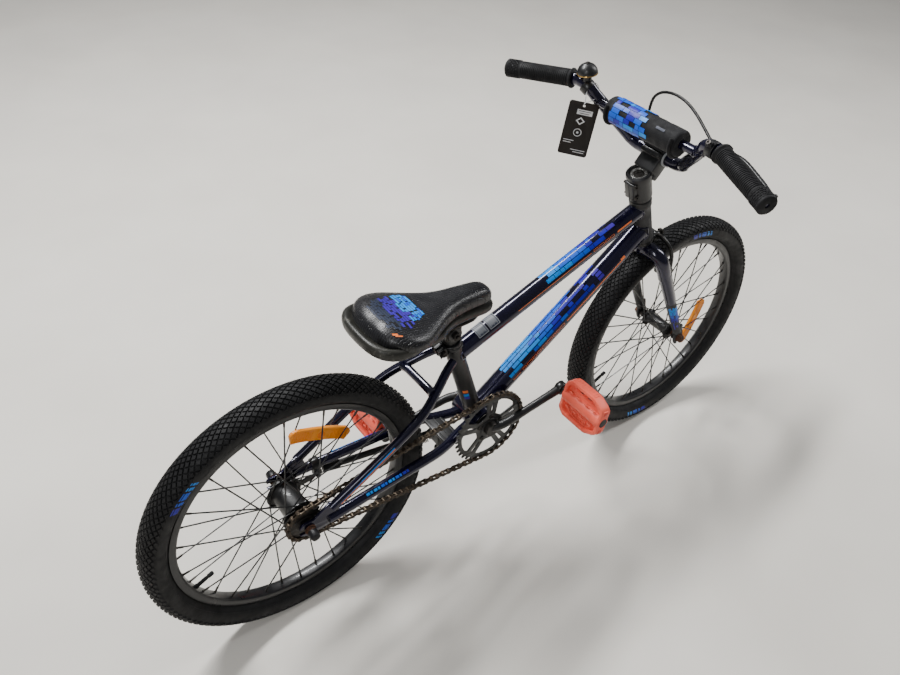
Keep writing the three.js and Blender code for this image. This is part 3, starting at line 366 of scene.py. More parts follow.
class Nodes:
    """A small helper for writing a procedural material."""

    def __init__(self, name):
        self.material = bpy.data.materials.new(name)
        self.material.use_nodes = True
        self.tree = self.material.node_tree
        self.shader = self.tree.nodes["Principled BSDF"]
        self.place = self.add("ShaderNodeTexCoord").outputs["Object"]

    def add(self, kind, **settings):
        node = self.tree.nodes.new(kind)
        for key, value in settings.items():
            setattr(node, key, value)
        return node

    def link(self, source, target):
        self.tree.links.new(source, target)

    def noise(self, scale, detail=4.0, roughness=0.55):
        node = self.add("ShaderNodeTexNoise")
        node.inputs["Scale"].default_value = scale
        node.inputs["Detail"].default_value = detail
        node.inputs["Roughness"].default_value = roughness
        self.link(self.place, node.inputs["Vector"])
        return node.outputs["Fac"]

    def ramp(self, source, low, high, low_at=0.3, high_at=0.7):
        """Spreads a 0 to 1 value between two colours, or two grey levels given as numbers."""
        node = self.add("ShaderNodeValToRGB")
        for element, value, at in zip(node.color_ramp.elements, (low, high), (low_at, high_at)):
            element.position = at
            element.color = (value,) * 3 + (1,) if isinstance(value, (int, float)) else (*value, 1)
        self.link(source, node.inputs["Fac"])
        return node.outputs["Color"]

    def mix(self, factor, first, second, mode="MIX"):
        node = self.add("ShaderNodeMix", data_type="RGBA", blend_type=mode)
        for socket, value in (
            (node.inputs["Factor"], factor), (node.inputs["A"], first), (node.inputs["B"], second)
        ):
            if isinstance(value, (int, float)):
                socket.default_value = value
            elif isinstance(value, tuple):
                socket.default_value = (*value, 1)
            else:
                self.link(value, socket)
        return node.outputs["Result"]

    def bump(self, height, strength, distance=0.001, before=None):
        node = self.add("ShaderNodeBump")
        node.inputs["Strength"].default_value = strength
        node.inputs["Distance"].default_value = distance
        self.link(height, node.inputs["Height"])
        if before is not None:
            self.link(before, node.inputs["Normal"])
        return node.outputs["Normal"]

    def set(self, name, value):
        socket = self.shader.inputs[name]
        if isinstance(value, (int, float)):
            socket.default_value = value
        elif isinstance(value, tuple):
            socket.default_value = (*value, 1)
        else:
            self.link(value, socket)


def painted(name, colour, second, roughness=0.2, coat=0.6, metallic=0.3, flake=0.0):
    """Sprayed paint: slight colour drift, fine dust specks, rubbed patches and a lacquer coat."""
    n = Nodes(name)
    drift = n.ramp(n.noise(14), colour, second)
    dust = n.ramp(n.noise(900, 2), 0.0, 1.0, 0.66, 0.74)
    if flake:
        sparkle = n.ramp(n.noise(2600, 1), 0.0, 1.0, 0.62, 0.72)
        drift = n.mix(sparkle, drift, tuple(min(1, c * 6 + flake) for c in second))
    dusted = n.mix(dust, drift, tuple(c * 2.2 + 0.02 for c in colour))
    n.set("Base Color", dusted)
    n.set("Metallic", metallic)
    rubbed = n.ramp(n.noise(45, 5), roughness * 0.75, min(1, roughness * 1.5))
    n.set("Roughness", rubbed)
    n.set("Coat Weight", coat)
    n.set("Coat Roughness", 0.06)
    orange_peel = n.noise(260, 3)
    n.set("Normal", n.bump(orange_peel, 0.03))
    return n.material


def plastic(name, colour, second, roughness=0.45, grain=1500, bump=0.12, worn=None, worn_from=0.6):
    """Moulded plastic or rubber: fine grain, drifting gloss and scuffed patches."""
    n = Nodes(name)
    base = n.ramp(n.noise(22), colour, second)
    if worn:
        scuffs = n.ramp(n.noise(70, 8, 0.7), 0.0, 1.0, worn_from, worn_from + 0.12)
        base = n.mix(scuffs, base, worn)
    n.set("Base Color", base)
    n.set("Roughness", n.ramp(n.noise(60, 5), roughness * 0.8, min(1, roughness * 1.25)))
    n.set("Specular IOR Level", 0.24)
    n.set("Normal", n.bump(n.noise(grain, 3), bump, 0.0004))
    return n.material


def metal(name, colour, second, roughness=0.35, rust=None, rust_from=0.55):
    """Bare, blackened or rusty metal with fine scratches."""
    n = Nodes(name)
    base = n.ramp(n.noise(40, 6), colour, second)
    rough = n.ramp(n.noise(180, 5), roughness * 0.7, min(1, roughness * 1.5))
    metallic = 0.9
    if rust:
        spots = n.ramp(n.noise(320, 8, 0.7), 0.0, 1.0, rust_from, rust_from + 0.1)
        base = n.mix(spots, base, rust)
        rough = n.mix(spots, rough, (0.85, 0.85, 0.85))
        metallic = n.ramp(spots, 0.9, 0.1, 0, 1)
    n.set("Base Color", base)
    n.set("Metallic", metallic)
    n.set("Roughness", rough)
    scratches = n.noise(700, 4)
    n.set("Normal", n.bump(scratches, 0.08, 0.0003))
    return n.material


def embossed_vinyl(name):
    """Black saddle vinyl, pressed with a small brick pattern, with painted shade darkening its grooves."""
    n = Nodes(name)
    brick = n.add("ShaderNodeTexBrick", offset=0.5, squash=1.4, squash_frequency=3)
    brick.inputs["Scale"].default_value = 1.0
    brick.inputs["Brick Width"].default_value = 0.011
    brick.inputs["Row Height"].default_value = 0.0042
    brick.inputs["Mortar Size"].default_value = 0.0010
    brick.inputs["Mortar Smooth"].default_value = 0.5
    n.link(n.place, brick.inputs["Vector"])
    grooves = brick.outputs["Fac"]
    base = n.ramp(n.noise(30), (0.006, 0.006, 0.0075), (0.013, 0.013, 0.016))
    # painted shade: the pressed grooves are coloured darker than the vinyl around them
    n.set("Base Color", n.mix(grooves, base, (0.003, 0.003, 0.0035)))
    n.set("Roughness", n.ramp(n.noise(50, 5), 0.26, 0.42))
    inverse = n.ramp(grooves, 1.0, 0.0, 0, 1)
    pressed = n.bump(inverse, 0.9, 0.0014)
    n.set("Normal", n.bump(n.noise(2400, 2), 0.12, 0.0003, before=pressed))
    return n.material


def woven(name, colour, second):
    """Coated fabric with a fine weave."""
    n = Nodes(name)
    base = n.ramp(n.noise(60), colour, second)
    n.set("Base Color", base)
    n.set("Roughness", n.ramp(n.noise(90), 0.55, 0.8))
    n.set("Sheen Weight", 0.04)
    n.set("Specular IOR Level", 0.2)
    threads = []
    for direction in ("X", "Y"):
        wave = n.add("ShaderNodeTexWave", bands_direction=direction)
        wave.inputs["Scale"].default_value = 420
        wave.inputs["Distortion"].default_value = 0.4
        n.link(n.place, wave.inputs["Vector"])
        threads.append(wave.outputs["Fac"])
    weave = n.mix(0.5, threads[0], threads[1], "MULTIPLY")
    folds = n.bump(n.noise(28, 2), 0.25, 0.004)
    n.set("Normal", n.bump(weave, 0.35, 0.0005, before=folds))
    return n.material


NAVY = painted(
    "navy_gloss", (0.0022, 0.0020, 0.0080), (0.0050, 0.0042, 0.022), 0.17, 0.45, 0.55, flake=0.012
)
SATIN = painted("satin_black", (0.004, 0.004, 0.0045), (0.0065, 0.0065, 0.0072), 0.36, 0.05, 0.1)
GREY_MATTE = painted("matte_grey", (0.006, 0.006, 0.0075), (0.011, 0.011, 0.013), 0.5, 0.0, 0.1)
BLACK_STEEL = painted("black_steel", (0.0032, 0.0032, 0.0036), (0.006, 0.0057, 0.0057), 0.38, 0.1, 0.15)
RIM_BLACK = painted("rim_black", (0.0032, 0.0032, 0.0036), (0.006, 0.006, 0.007), 0.32, 0.15, 0.15)
CHAIN_STEEL = metal(
    "chain_steel", (0.036, 0.028, 0.020), (0.085, 0.066, 0.046), 0.4, (0.030, 0.015, 0.008), 0.5
)
BOLT_STEEL = metal(
    "bolt_steel", (0.020, 0.019, 0.018), (0.050, 0.046, 0.042), 0.4, (0.045, 0.020, 0.010), 0.62
)
RUSTY_NUT = metal("rusty_nut", (0.04, 0.028, 0.022), (0.08, 0.05, 0.035), 0.6, (0.10, 0.035, 0.015), 0.45)
BRIGHT_STEEL = metal("bright_steel", (0.55, 0.54, 0.5), (0.7, 0.69, 0.66), 0.22, (0.25, 0.15, 0.08), 0.72)
BRASS = metal("brass", (0.45, 0.27, 0.08), (0.6, 0.38, 0.12), 0.3)
GRIP_RUBBER = plastic("grip_rubber", (0.0045, 0.0045, 0.005), (0.009, 0.009, 0.010), 0.68, 1800, 0.3)
TYRE_RUBBER = plastic(
    "tyre_rubber", (0.0045, 0.0045, 0.005), (0.0085, 0.0085, 0.009), 0.6, 1300, 0.25,
    (0.016, 0.015, 0.013), 0.62,
)
PLASTIC_BLACK = plastic("black_plastic", (0.005, 0.005, 0.0055), (0.009, 0.009, 0.010), 0.4)
CABLE_BLACK = plastic("cable_black", (0.004, 0.004, 0.004), (0.008, 0.008, 0.008), 0.35)
WORN_BASE = plastic(
    "worn_base", (0.014, 0.014, 0.012), (0.030, 0.029, 0.025), 0.36, 900, 0.35, (0.10, 0.097, 0.082), 0.56
)
CORAL = plastic(
    "coral", (0.76, 0.095, 0.058), (0.84, 0.135, 0.085), 0.42, 1200, 0.15, (0.50, 0.11, 0.08), 0.66
)
# painted shade: a darker coral for the thin sheets on the pedal's end blocks
CORAL_PAINTED_SHADE = plastic("coral_painted_shade", (0.55, 0.022, 0.008), (0.62, 0.035, 0.012), 0.35)
AMBER = plastic("amber", (0.70, 0.20, 0.008), (0.80, 0.27, 0.015), 0.16, 2600, 0.5)
AMBER_DEEP = plastic("amber_deep", (0.70, 0.14, 0.006), (0.75, 0.18, 0.012), 0.2, 2600, 0.4)
TAG_BLACK = plastic("tag_black", (0.012, 0.009, 0.008), (0.020, 0.015, 0.012), 0.35, 600, 0.05)
TAG_WHITE = plastic("tag_white", (0.62, 0.62, 0.62), (0.72, 0.72, 0.72), 0.6)
PALE_GREY = plastic("pale_grey", (0.24, 0.25, 0.26), (0.34, 0.35, 0.36), 0.4)
INK_CYAN = plastic("ink_cyan", (0.003, 0.16, 0.55), (0.007, 0.24, 0.70), 0.4)
INK_AZURE = plastic("ink_azure", (0.003, 0.06, 0.43), (0.007, 0.10, 0.58), 0.4)
INK_ROYAL = plastic("ink_royal", (0.008, 0.006, 0.24), (0.014, 0.012, 0.36), 0.4)
INK_VIOLET = plastic("ink_violet", (0.028, 0.012, 0.24), (0.045, 0.018, 0.34), 0.4)
INK_ORANGE = plastic("ink_orange", (0.78, 0.16, 0.035), (0.86, 0.21, 0.05), 0.3)
INK_SLATE = plastic("ink_slate", (0.018, 0.024, 0.045), (0.026, 0.034, 0.06), 0.4)
VINYL = embossed_vinyl("saddle_vinyl")
PAD_CLOTH = woven("pad_cloth", (0.004, 0.004, 0.005), (0.008, 0.008, 0.009))
FADE = (INK_CYAN, INK_AZURE, INK_ROYAL, INK_VIOLET)


# ------------------------------------------------------------------------------------------------
# Printed bricks and welds
# ------------------------------------------------------------------------------------------------


def tube_patch(piece, start, axis, radius, span, turns, material, lift=0.12, steps=4):
    """A thin printed patch on a round tube, between two distances along it and two angles from its top."""
    axis = axis.normalized()
    top = (Z_AXIS - Z_AXIS.dot(axis) * axis).normalized()
    right = axis.cross(top)
    rings = []
    for along in span:
        ring = []
        for k in range(steps + 1):
            turn = turns[0] + (turns[1] - turns[0]) * k / steps
            ring.append(start + along * axis + (radius + lift) * blend(top, right, turn))
        rings.append(ring)
    piece.grid(rings, material, wrap=False)


def tube_bricks(piece, start, axis, radius, span, reach, rows, seed, length=15.0, fade_from=0.55):
    """Staggered brick print that runs from cyan to violet and thins out towards its far end."""
    chance = random.Random(seed)
    row_turn = 2 * reach / rows
    for row in range(rows):
        along = span[0] + chance.uniform(0, length)
        while along < span[1]:
            size = chance.choice((0.5, 0.8, 1.0, 1.0, 1.5)) * length
            share = (along - span[0]) / (span[1] - span[0])
            shade = FADE[min(3, max(0, int(share * 3.4 + chance.uniform(-0.35, 0.45))))]
            kept = share < fade_from or chance.random() > (share - fade_from) * 1.6
            if kept and chance.random() > 0.06:
                turns = (-reach + row * row_turn + 0.045, -reach + (row + 1) * row_turn - 0.045)
                tube_patch(
                    piece, start, axis, radius, (along, min(along + size, span[1])), turns, shade, steps=2
                )
            along += size + 0.9


def weld(piece, start, axis, radius, target, target_axis, target_radius, material, bead=1.7):
    """A rippled bead where a round tube meets another one."""
    axis = axis.normalized()
    target_axis = target_axis.normalized()
    first, second = across(axis)
    loop = []
    count = 40
    for k in range(count):
        turn = 2 * math.pi * k / count
        point = start + radius * blend(first, second, turn)
        flat_axis = axis - axis.dot(target_axis) * target_axis
        offset = point - target
        flat_offset = offset - offset.dot(target_axis) * target_axis
        a, b = flat_axis.dot(flat_axis), flat_offset.dot(flat_axis)
        c = flat_offset.dot(flat_offset) - target_radius**2
        reach = b * b - a * c
        if reach < 0:
            continue
        meet = point + axis * ((-b - math.sqrt(reach)) / a)
        loop.append((*meet, bead * (1 + 0.22 * math.sin(turn * 14))))
    piece.tube(loop, bead, material, sides=8, per=3, closed=True)


# ------------------------------------------------------------------------------------------------
# Wheels
# ------------------------------------------------------------------------------------------------

TYRE_SIDE = [
    (206.5, 9.0), (209.8, 9.3), (211.5, 11.5), (214.5, 16.0), (219.0, 20.6), (225.0, 23.4),
    (231.0, 24.2), (237.0, 23.2), (242.0, 20.4), (246.2, 15.6), (248.8, 9.5), (249.9, 3.0),
]
TREAD_ROWS = 13
TREAD_PITCH = 116
TREAD_ROW_STEP = 4.6
TREAD_HEIGHT = 2.1
KNOB_ROOT_DEPTH = 0.3
KNOB_TOP_SHARE = 0.72
KNOB_HALF_WIDTH = TREAD_ROW_STEP * 0.86
KNOB_HALF_TURN = 0.46 * 2 * math.pi / TREAD_PITCH
TYRE_BORE = [(204.5, -8.6), (204.5, 8.6)]
RIB_RADII = (217.5, 239.5)
MARK_RADII = (224.0, 229.0, 234.0)


def tyre_section():
    """The tyre's outside as closely spaced (radius, y) points from the crown down to the bead, left side."""
    points = [V(250, 0, 0)] + [V(r, y, 0) for r, y in reversed(TYRE_SIDE)]
    return [(p.x, p.y) for p in smooth_path(points, 6)]


def on_crown(section, reach):
    """Radius, y and outward direction at a distance across the tread from its middle."""
    sign = 1 if reach >= 0 else -1
    left = abs(reach)
    for (r0, y0), (r1, y1) in zip(section, section[1:]):
        step = math.hypot(r1 - r0, y1 - y0)
        if left <= step:
            share = left / step
            normal = Vector((y1 - y0, r0 - r1)).normalized()
            return r0 + share * (r1 - r0), sign * (y0 + share * (y1 - y0)), normal.x, sign * normal.y
        left -= step
    raise ValueError("the tread is wider than the tyre")


def wheel_point(axle, radius, y, turn):
    return axle + V(radius * math.cos(turn), y, radius * math.sin(turn))


def tyre(name, axle, body, mark_turns):
    """A tyre with rows of diamond knobs, moulded ribs and blue marks on its sides."""
    piece = Piece(f"{name}_tyre_rubber")
    section = tyre_section()
    profile = [(r, y) for r, y in reversed(section)] + [(r, -y) for r, y in section[1:]]
    piece.turned(axle, Y_AXIS, profile + TYRE_BORE, TYRE_RUBBER, segments=WHEEL_SEGMENTS, closed=True)
    corners = ((0, KNOB_HALF_TURN), (KNOB_HALF_WIDTH, 0), (0, -KNOB_HALF_TURN), (-KNOB_HALF_WIDTH, 0))
    for row in range(TREAD_ROWS):
        reach = (row - (TREAD_ROWS - 1) / 2) * TREAD_ROW_STEP
        for k in range(TREAD_PITCH):
            turn = 2 * math.pi * (k + 0.5 * (row % 2)) / TREAD_PITCH
            base, top = [], []
            for shift, step in corners:
                r, y, nr, ny = on_crown(section, reach + shift)
                base.append(
                    wheel_point(axle, r - KNOB_ROOT_DEPTH * nr, y - KNOB_ROOT_DEPTH * ny, turn + step)
                )
                r, y, nr, ny = on_crown(section, reach + KNOB_TOP_SHARE * shift)
                top.append(
                    wheel_point(
                        axle, r + TREAD_HEIGHT * nr, y + TREAD_HEIGHT * ny, turn + KNOB_TOP_SHARE * step
                    )
                )
            piece.grid([base, top], TYRE_RUBBER, capped=False)
            piece.bm.faces.new([piece.bm.verts.new(p) for p in top]).material_index = 0
    for side in (-1, 1):
        for turn in mark_turns:
            sidewall_mark(piece, axle, side, turn)
        for radius in RIB_RADII:
            sidewall_ring(piece, axle, side, radius)
    piece.finish(body, "tyre_rubber", f"{name}_tyre", sharp=32)


def side_at(section_radius):
    """The tyre side's y at a radius."""
    for (r0, y0), (r1, y1) in zip(TYRE_SIDE, TYRE_SIDE[1:]):
        if r0 <= section_radius <= r1:
            return y0 + (y1 - y0) * (section_radius - r0) / (r1 - r0)
    return 0.0


def sidewall_ring(piece, axle, side, radius):
    """A thin moulded rib round the sidewall."""
    y = side * (side_at(radius) + 0.1)
    loop = [wheel_point(axle, radius, y, 2 * math.pi * k / 48) for k in range(48)]
    piece.tube(loop, 0.55, TYRE_RUBBER, sides=6, per=3, closed=True)


def sidewall_mark(piece, axle, side, turn):
    """A plain blue mark of slanted bars on the sidewall."""
    bars = (
        (0.0, 1.2, INK_CYAN), (2.2, 1.6, INK_CYAN), (4.8, 3.4, INK_AZURE), (9.2, 1.5, INK_AZURE),
        (11.7, 3.0, INK_ROYAL),
    )
    for start, width, ink in bars:
        rings = []
        for radius in MARK_RADII:
            y = side * (side_at(radius) + 0.35)
            slant = math.radians(0.12 * (radius - MARK_RADII[0]))
            rings.append(
                [
                    wheel_point(axle, radius, y, turn + slant + math.radians(start + width * k / 3))
                    for k in range(4)
                ]
            )
        piece.grid(rings, ink, wrap=False)


def rim(name, axle, body):
    """A box-section rim, with the valve through it."""
    piece = Piece(f"{name}_rim_metal")
    half = [
        (195.6, 0.0), (195.7, 4.5), (196.6, 8.3), (198.8, 10.6), (201.5, 11.3), (208.6, 11.8),
        (209.3, 11.5), (209.3, 10.4), (208.4, 9.9), (204.4, 9.6), (202.8, 6.0),
    ]
    profile = half + [(r, -y) for r, y in reversed(half[1:])]
    piece.turned(axle, Y_AXIS, profile, RIM_BLACK, segments=WHEEL_SEGMENTS, closed=True)
    out = facing(VALVE_TURN)
    root = axle + (RIM_INNER_RADIUS + 0.5) * out
    piece.turned(
        root, -out,
        [
            (0, -1), (4.2, -1), (4.2, 3), (3.3, 5), (3.1, 22), (2.5, 23), (2.5, 24), (3.5, 24.5),
            (3.5, 33), (2.6, 34.5), (0, 34.5),
        ],
        GRIP_RUBBER, segments=20,
    )
    piece.finish(body, "black_alloy", f"{name}_rim", sharp=30)


HUBS = {
    "front": dict(axle=FRONT_AXLE, flange=19.5, barrel=12.5, flange_y=29.0, end_y=36.0),
    "rear": dict(axle=REAR_AXLE, flange=31.0, barrel=22.0, flange_y=29.0, end_y=38.0),
}


def hub(name, body):
    """A hub shell with two flanges and a seal line by each end."""
    spec = HUBS[name]
    piece = Piece(f"{name}_hub_metal")
    neck = spec["barrel"] * 0.82
    half = [
        (5.6, spec["end_y"]), (neck * 0.86, spec["end_y"]), (neck, spec["end_y"] - 1.2),
        (neck, spec["flange_y"] + 3.0), (spec["flange"] * 0.72, spec["flange_y"] + 1.6),
        (spec["flange"] - 0.6, spec["flange_y"] + 1.5), (spec["flange"], spec["flange_y"] + 0.9),
        (spec["flange"], spec["flange_y"] - 0.9), (spec["flange"] - 0.6, spec["flange_y"] - 1.5),
        (spec["flange"] * 0.78, spec["flange_y"] - 1.8), (spec["barrel"] + 1.2, spec["flange_y"] - 4.5),
        (spec["barrel"], spec["flange_y"] - 8.0),
    ]
    profile = half + [(r, -y) for r, y in reversed(half)]
    piece.turned(spec["axle"], Y_AXIS, profile, BLACK_STEEL, segments=56, closed=True)
    for y in (spec["end_y"] - 3.5, -(spec["end_y"] - 3.5)):
        piece.turned(
            spec["axle"], Y_AXIS,
            [(neck - 0.5, y - 1.2), (neck + 0.9, y - 0.8), (neck + 0.9, y + 0.8), (neck - 0.5, y + 1.2)],
            BOLT_STEEL, segments=40,
        )
    piece.finish(body, "black_steel", f"{name}_hub")


def spokes(name, side_name, side, body):
    """Three-cross spokes of one side, with elbows at the flange and nipples at the rim."""
    spec = HUBS[name]
    axle = spec["axle"]
    piece = Piece(f"{name}_spoke_set_{side_name}")
    start = 0 if side > 0 else math.pi / SPOKES_PER_SIDE
    for i in range(SPOKES_PER_SIDE):
        turn = 2 * math.pi * i / SPOKES_PER_SIDE + start
        leading = i % 2 == 0
        lean = SPOKE_LEAN if leading else -SPOKE_LEAN
        out_y = side * (spec["flange_y"] + (2.5 if leading else -2.5))
        head = wheel_point(
            axle, spec["flange"] - 3.2, side * (spec["flange_y"] - (2.0 if leading else -2.0)), turn
        )
        hook = wheel_point(axle, spec["flange"] - 3.0, out_y, turn)
        end = wheel_point(axle, RIM_INNER_RADIUS + 0.3, side * 3.2, turn + lean)
        along = (end - hook).normalized()
        bend = hook + 3.0 * along
        piece.tube([head, hook], 1.3, BLACK_STEEL, sides=6)
        piece.tube([hook, bend, end], SPOKE_RADIUS, BLACK_STEEL, sides=6, per=2)
        piece.turned(
            head, Y_AXIS * -side * (1 if leading else -1), [(0, 0.9), (1.6, 0.4), (1.9, 0)], BOLT_STEEL,
            segments=8,
        )
        piece.turned(
            end, -along, [(0, -1), (2.3, -1), (2.3, 1.2), (1.8, 1.6), (1.7, 11), (1.1, 12)], BOLT_STEEL,
            segments=10,
        )
    piece.finish(body, "black_steel", f"{name}_spokes_{side_name}")


def reflector(name, axle, radius, turn, body):
    """A long amber lens with ribbed ends and a raised middle boss, the same on both faces."""
    piece = Piece(f"{name}_reflector_lens")
    out = facing(turn)
    around = V(-math.sin(turn), 0, math.cos(turn))
    centre = axle + radius * out
    half, deep, sag = 56.0, 12.5, 4.0
    top = [(half * k / 8, deep - sag * (k / 8) ** 2) for k in range(-7, 8)]
    outline = (
        [(-half, deep - sag - 5), (-half - 1, -2), (-half + 6, -deep - sag + 1)]
        + [(half * k / 8, -deep - sag * (k / 8) ** 2 + 1.5) for k in range(-6, 7)]
        + [(half - 6, -deep - sag + 1), (half + 1, -2), (half, deep - sag - 5)]
        + list(reversed(top))
    )
    piece.plate(outline, 6.5, centre, around, out, AMBER, bevel=1.0)
    face_y = 3.3
    for side in (-1, 1):
        mid = centre + side * face_y * Y_AXIS
        for end in (-1, 1):
            for k in range(7):
                rib = mid + around * end * (22 + 4.6 * k) - out * sag * ((22 + 4.6 * k) / half) ** 2
                piece.block(rib, (1.6, 0.9, 18), AMBER, around, out, bevel=0.25, rounds=1)
        piece.block(mid, (36, 0.9, 17), AMBER, around, out, bevel=0.3, rounds=1)
        piece.turned(mid, side * Y_AXIS, [(6.5, 0), (6.2, 1.4), (0, 1.7)], AMBER_DEEP, segments=28)
    piece.finish(body, "amber_plastic", f"{name}_reflector")


def wheels():
    tyre("front", FRONT_AXLE, "front_wheel", (math.radians(-106), math.radians(74)))
    tyre("rear", REAR_AXLE, "rear_wheel", (math.radians(-50), math.radians(130)))
    for name, spec in HUBS.items():
        body = f"{name}_wheel"
        rim(name, spec["axle"], body)
        hub(name, body)
        for side_name, side in SIDES:
            spokes(name, side_name, side, body)
    reflector("front", FRONT_AXLE, 128.0, math.radians(-20), "front_wheel")
    reflector("rear", REAR_AXLE, 145.0, math.radians(66), "rear_wheel")


def wheel_axle(name, centre, dropout_y, end_y, body, capped):
    """A threaded axle with cones, washers and nuts, and end caps where it has them."""
    piece = Piece(f"{name}_axle_and_nuts")
    thread = []
    pitch = 1.25
    y = -end_y
    while y < end_y:
        thread += [(4.75, y), (4.4, y + pitch / 2)]
        y += pitch
    piece.turned(centre, Y_AXIS, [(0, -end_y)] + thread + [(0, end_y)], RUSTY_NUT, segments=20)
    for _, side in SIDES:
        out = side * Y_AXIS
        inner = centre + (dropout_y - 9) * out
        piece.turned(
            inner, out, [(5, 0), (8.6, 0), (9.4, 2), (9.4, 4), (8, 4.4), (8, 8.7), (5, 8.7)], BOLT_STEEL,
            segments=32,
        )
        outer = centre + (dropout_y + 5.2) * out
        piece.turned(
            outer, out, [(5, 0), (9.6, 0), (9.9, 0.6), (9.6, 1.8), (5, 1.9)], RUSTY_NUT, segments=32
        )
        piece.hexagon(outer + 1.8 * out, out, 15.0, 7.4, RUSTY_NUT)
        if capped:
            piece.turned(
                outer + 8 * out, out,
                [(0, -1), (8.6, -1), (8.9, 1), (8.4, 9), (7.4, 12), (5, 13.4), (0, 13.7)], PLASTIC_BLACK,
                segments=32,
            )
    piece.finish(body, "black_steel", f"{name}_axle", sharp=35)


# ------------------------------------------------------------------------------------------------
# Frame
# ------------------------------------------------------------------------------------------------

TOP_TUBE_FRONT = steer(0, 0, 366)
TOP_TUBE_REAR = on_seat_tube(174)
DOWN_TUBE_FRONT = steer(0, 0, 318)


def chainstay_route(side):
    points = [
        (352, 18, 261), (332, 22, 260), (310, 29, 259), (288, 37, 258), (262, 43, 257.5),
        (230, 46, 257), CHAINSTAY_BEND, CHAINSTAY_NEAR, CHAINSTAY_END,
    ]
    return [sided(p, side) for p in points]


def seatstay_route(side):
    points = [
        (40, 60, 278), (110, 60.5, 321), (170, 60.5, 358), (205, 58.5, 379.5), (230, 52, 395),
        (255, 41, 410.5), (280, 29, 426), (306, 19, 436),
    ]
    return [sided(p, side) for p in points]


def main_tubes():
    """The top and down tubes, with their print and the welds at both ends."""
    top = Piece("top_tube_paint")
    axis = (TOP_TUBE_FRONT - TOP_TUBE_REAR).normalized()
    length = (TOP_TUBE_FRONT - TOP_TUBE_REAR).length
    top.tube([TOP_TUBE_REAR + 8 * axis, TOP_TUBE_FRONT - 8 * axis], TOP_TUBE_RADIUS, NAVY, sides=48)
    tube_bricks(top, TOP_TUBE_REAR, axis, TOP_TUBE_RADIUS, (195, length - 62), 1.05, 4, 7, 17, 0.5)
    for side in (-1, 1):
        tube_patch(
            top, TOP_TUBE_REAR, axis, TOP_TUBE_RADIUS, (130, 300), (side * 1.30, side * 1.37), INK_ORANGE
        )
        tube_patch(
            top, TOP_TUBE_REAR, axis, TOP_TUBE_RADIUS, (length - 72, length - 38),
            (side * 1.18, side * 1.36), INK_ORANGE,
        )
        dashes(top, TOP_TUBE_REAR, axis, TOP_TUBE_RADIUS, 306, length - 78, side * 1.3)
    for low in (46, 71):
        plain_label(top, TOP_TUBE_REAR + low * axis, axis, TOP_TUBE_RADIUS)
    weld(top, TOP_TUBE_REAR, axis, TOP_TUBE_RADIUS, STEER_FOOT, STEER_UP, HEAD_TUBE_RADIUS, NAVY)
    weld(top, TOP_TUBE_FRONT, -axis, TOP_TUBE_RADIUS, BB, SEAT_UP, SEAT_TUBE_RADIUS, NAVY)
    top.finish("frame", "gloss_frame_paint", "top_tube")

    down = Piece("down_tube_paint")
    axis = (DOWN_TUBE_FRONT - BB).normalized()
    length = (DOWN_TUBE_FRONT - BB).length
    down.tube([BB + 20 * axis, DOWN_TUBE_FRONT - 8 * axis], DOWN_TUBE_RADIUS, NAVY, sides=56)
    tube_bricks(down, BB, axis, DOWN_TUBE_RADIUS, (88, 345), 1.15, 6, 23, 21, 0.62)
    for side in (-1, 1):
        tube_patch(down, BB, axis, DOWN_TUBE_RADIUS, (92, 112), (side * 1.42, side * 1.48), INK_ORANGE)
        tube_patch(down, BB, axis, DOWN_TUBE_RADIUS, (238, 392), (side * 1.38, side * 1.48), INK_ORANGE)
        tube_patch(down, BB, axis, DOWN_TUBE_RADIUS, (386, 396), (side * 1.2, side * 1.48), INK_ORANGE)
        dashes(down, BB, axis, DOWN_TUBE_RADIUS, 118, 232, side * 1.45)
    weld(down, BB, axis, DOWN_TUBE_RADIUS, STEER_FOOT, STEER_UP, HEAD_TUBE_RADIUS, NAVY)
    weld(down, DOWN_TUBE_FRONT, -axis, DOWN_TUBE_RADIUS, BB, Y_AXIS, SHELL_RADIUS, NAVY)
    down.finish("frame", "gloss_frame_paint", "down_tube")


def dashes(piece, start, axis, radius, low, high, turn):
    """A row of plain dark blocks with orange edges, in place of the printed name."""
    chance = random.Random(11)
    along = low
    while along < high - 8:
        size = chance.choice((7, 10, 13))
        tube_patch(
            piece, start, axis, radius, (along, along + size), (turn - 0.13, turn + 0.13), INK_ORANGE,
            0.10,
        )
        tube_patch(
            piece, start, axis, radius, (along + 0.7, along + size - 0.7), (turn - 0.09, turn + 0.09),
            NAVY, 0.16,
        )
        along += size + 2.2


def plain_label(piece, start, axis, radius):
    """A small grey label with a pale border and pale rules, and no words."""
    length, reach, line = 21.0, 1.02, 1.1
    tube_patch(piece, start, axis, radius, (0, length), (-reach, reach), INK_SLATE, 0.15, 10)
    for edge in (0, length - line):
        tube_patch(piece, start, axis, radius, (edge, edge + line), (-reach, reach), PALE_GREY, 0.25, 10)
    for edge in (-reach, reach - 0.08):
        tube_patch(piece, start, axis, radius, (0, length), (edge, edge + 0.08), PALE_GREY, 0.25, 2)
    for k in range(5):
        along = 2.9 + 3.2 * k
        turns = (-0.84, 0.84 - 0.14 * (k % 2))
        tube_patch(piece, start, axis, radius, (along, along + 1.8), turns, PALE_GREY, 0.25, 8)


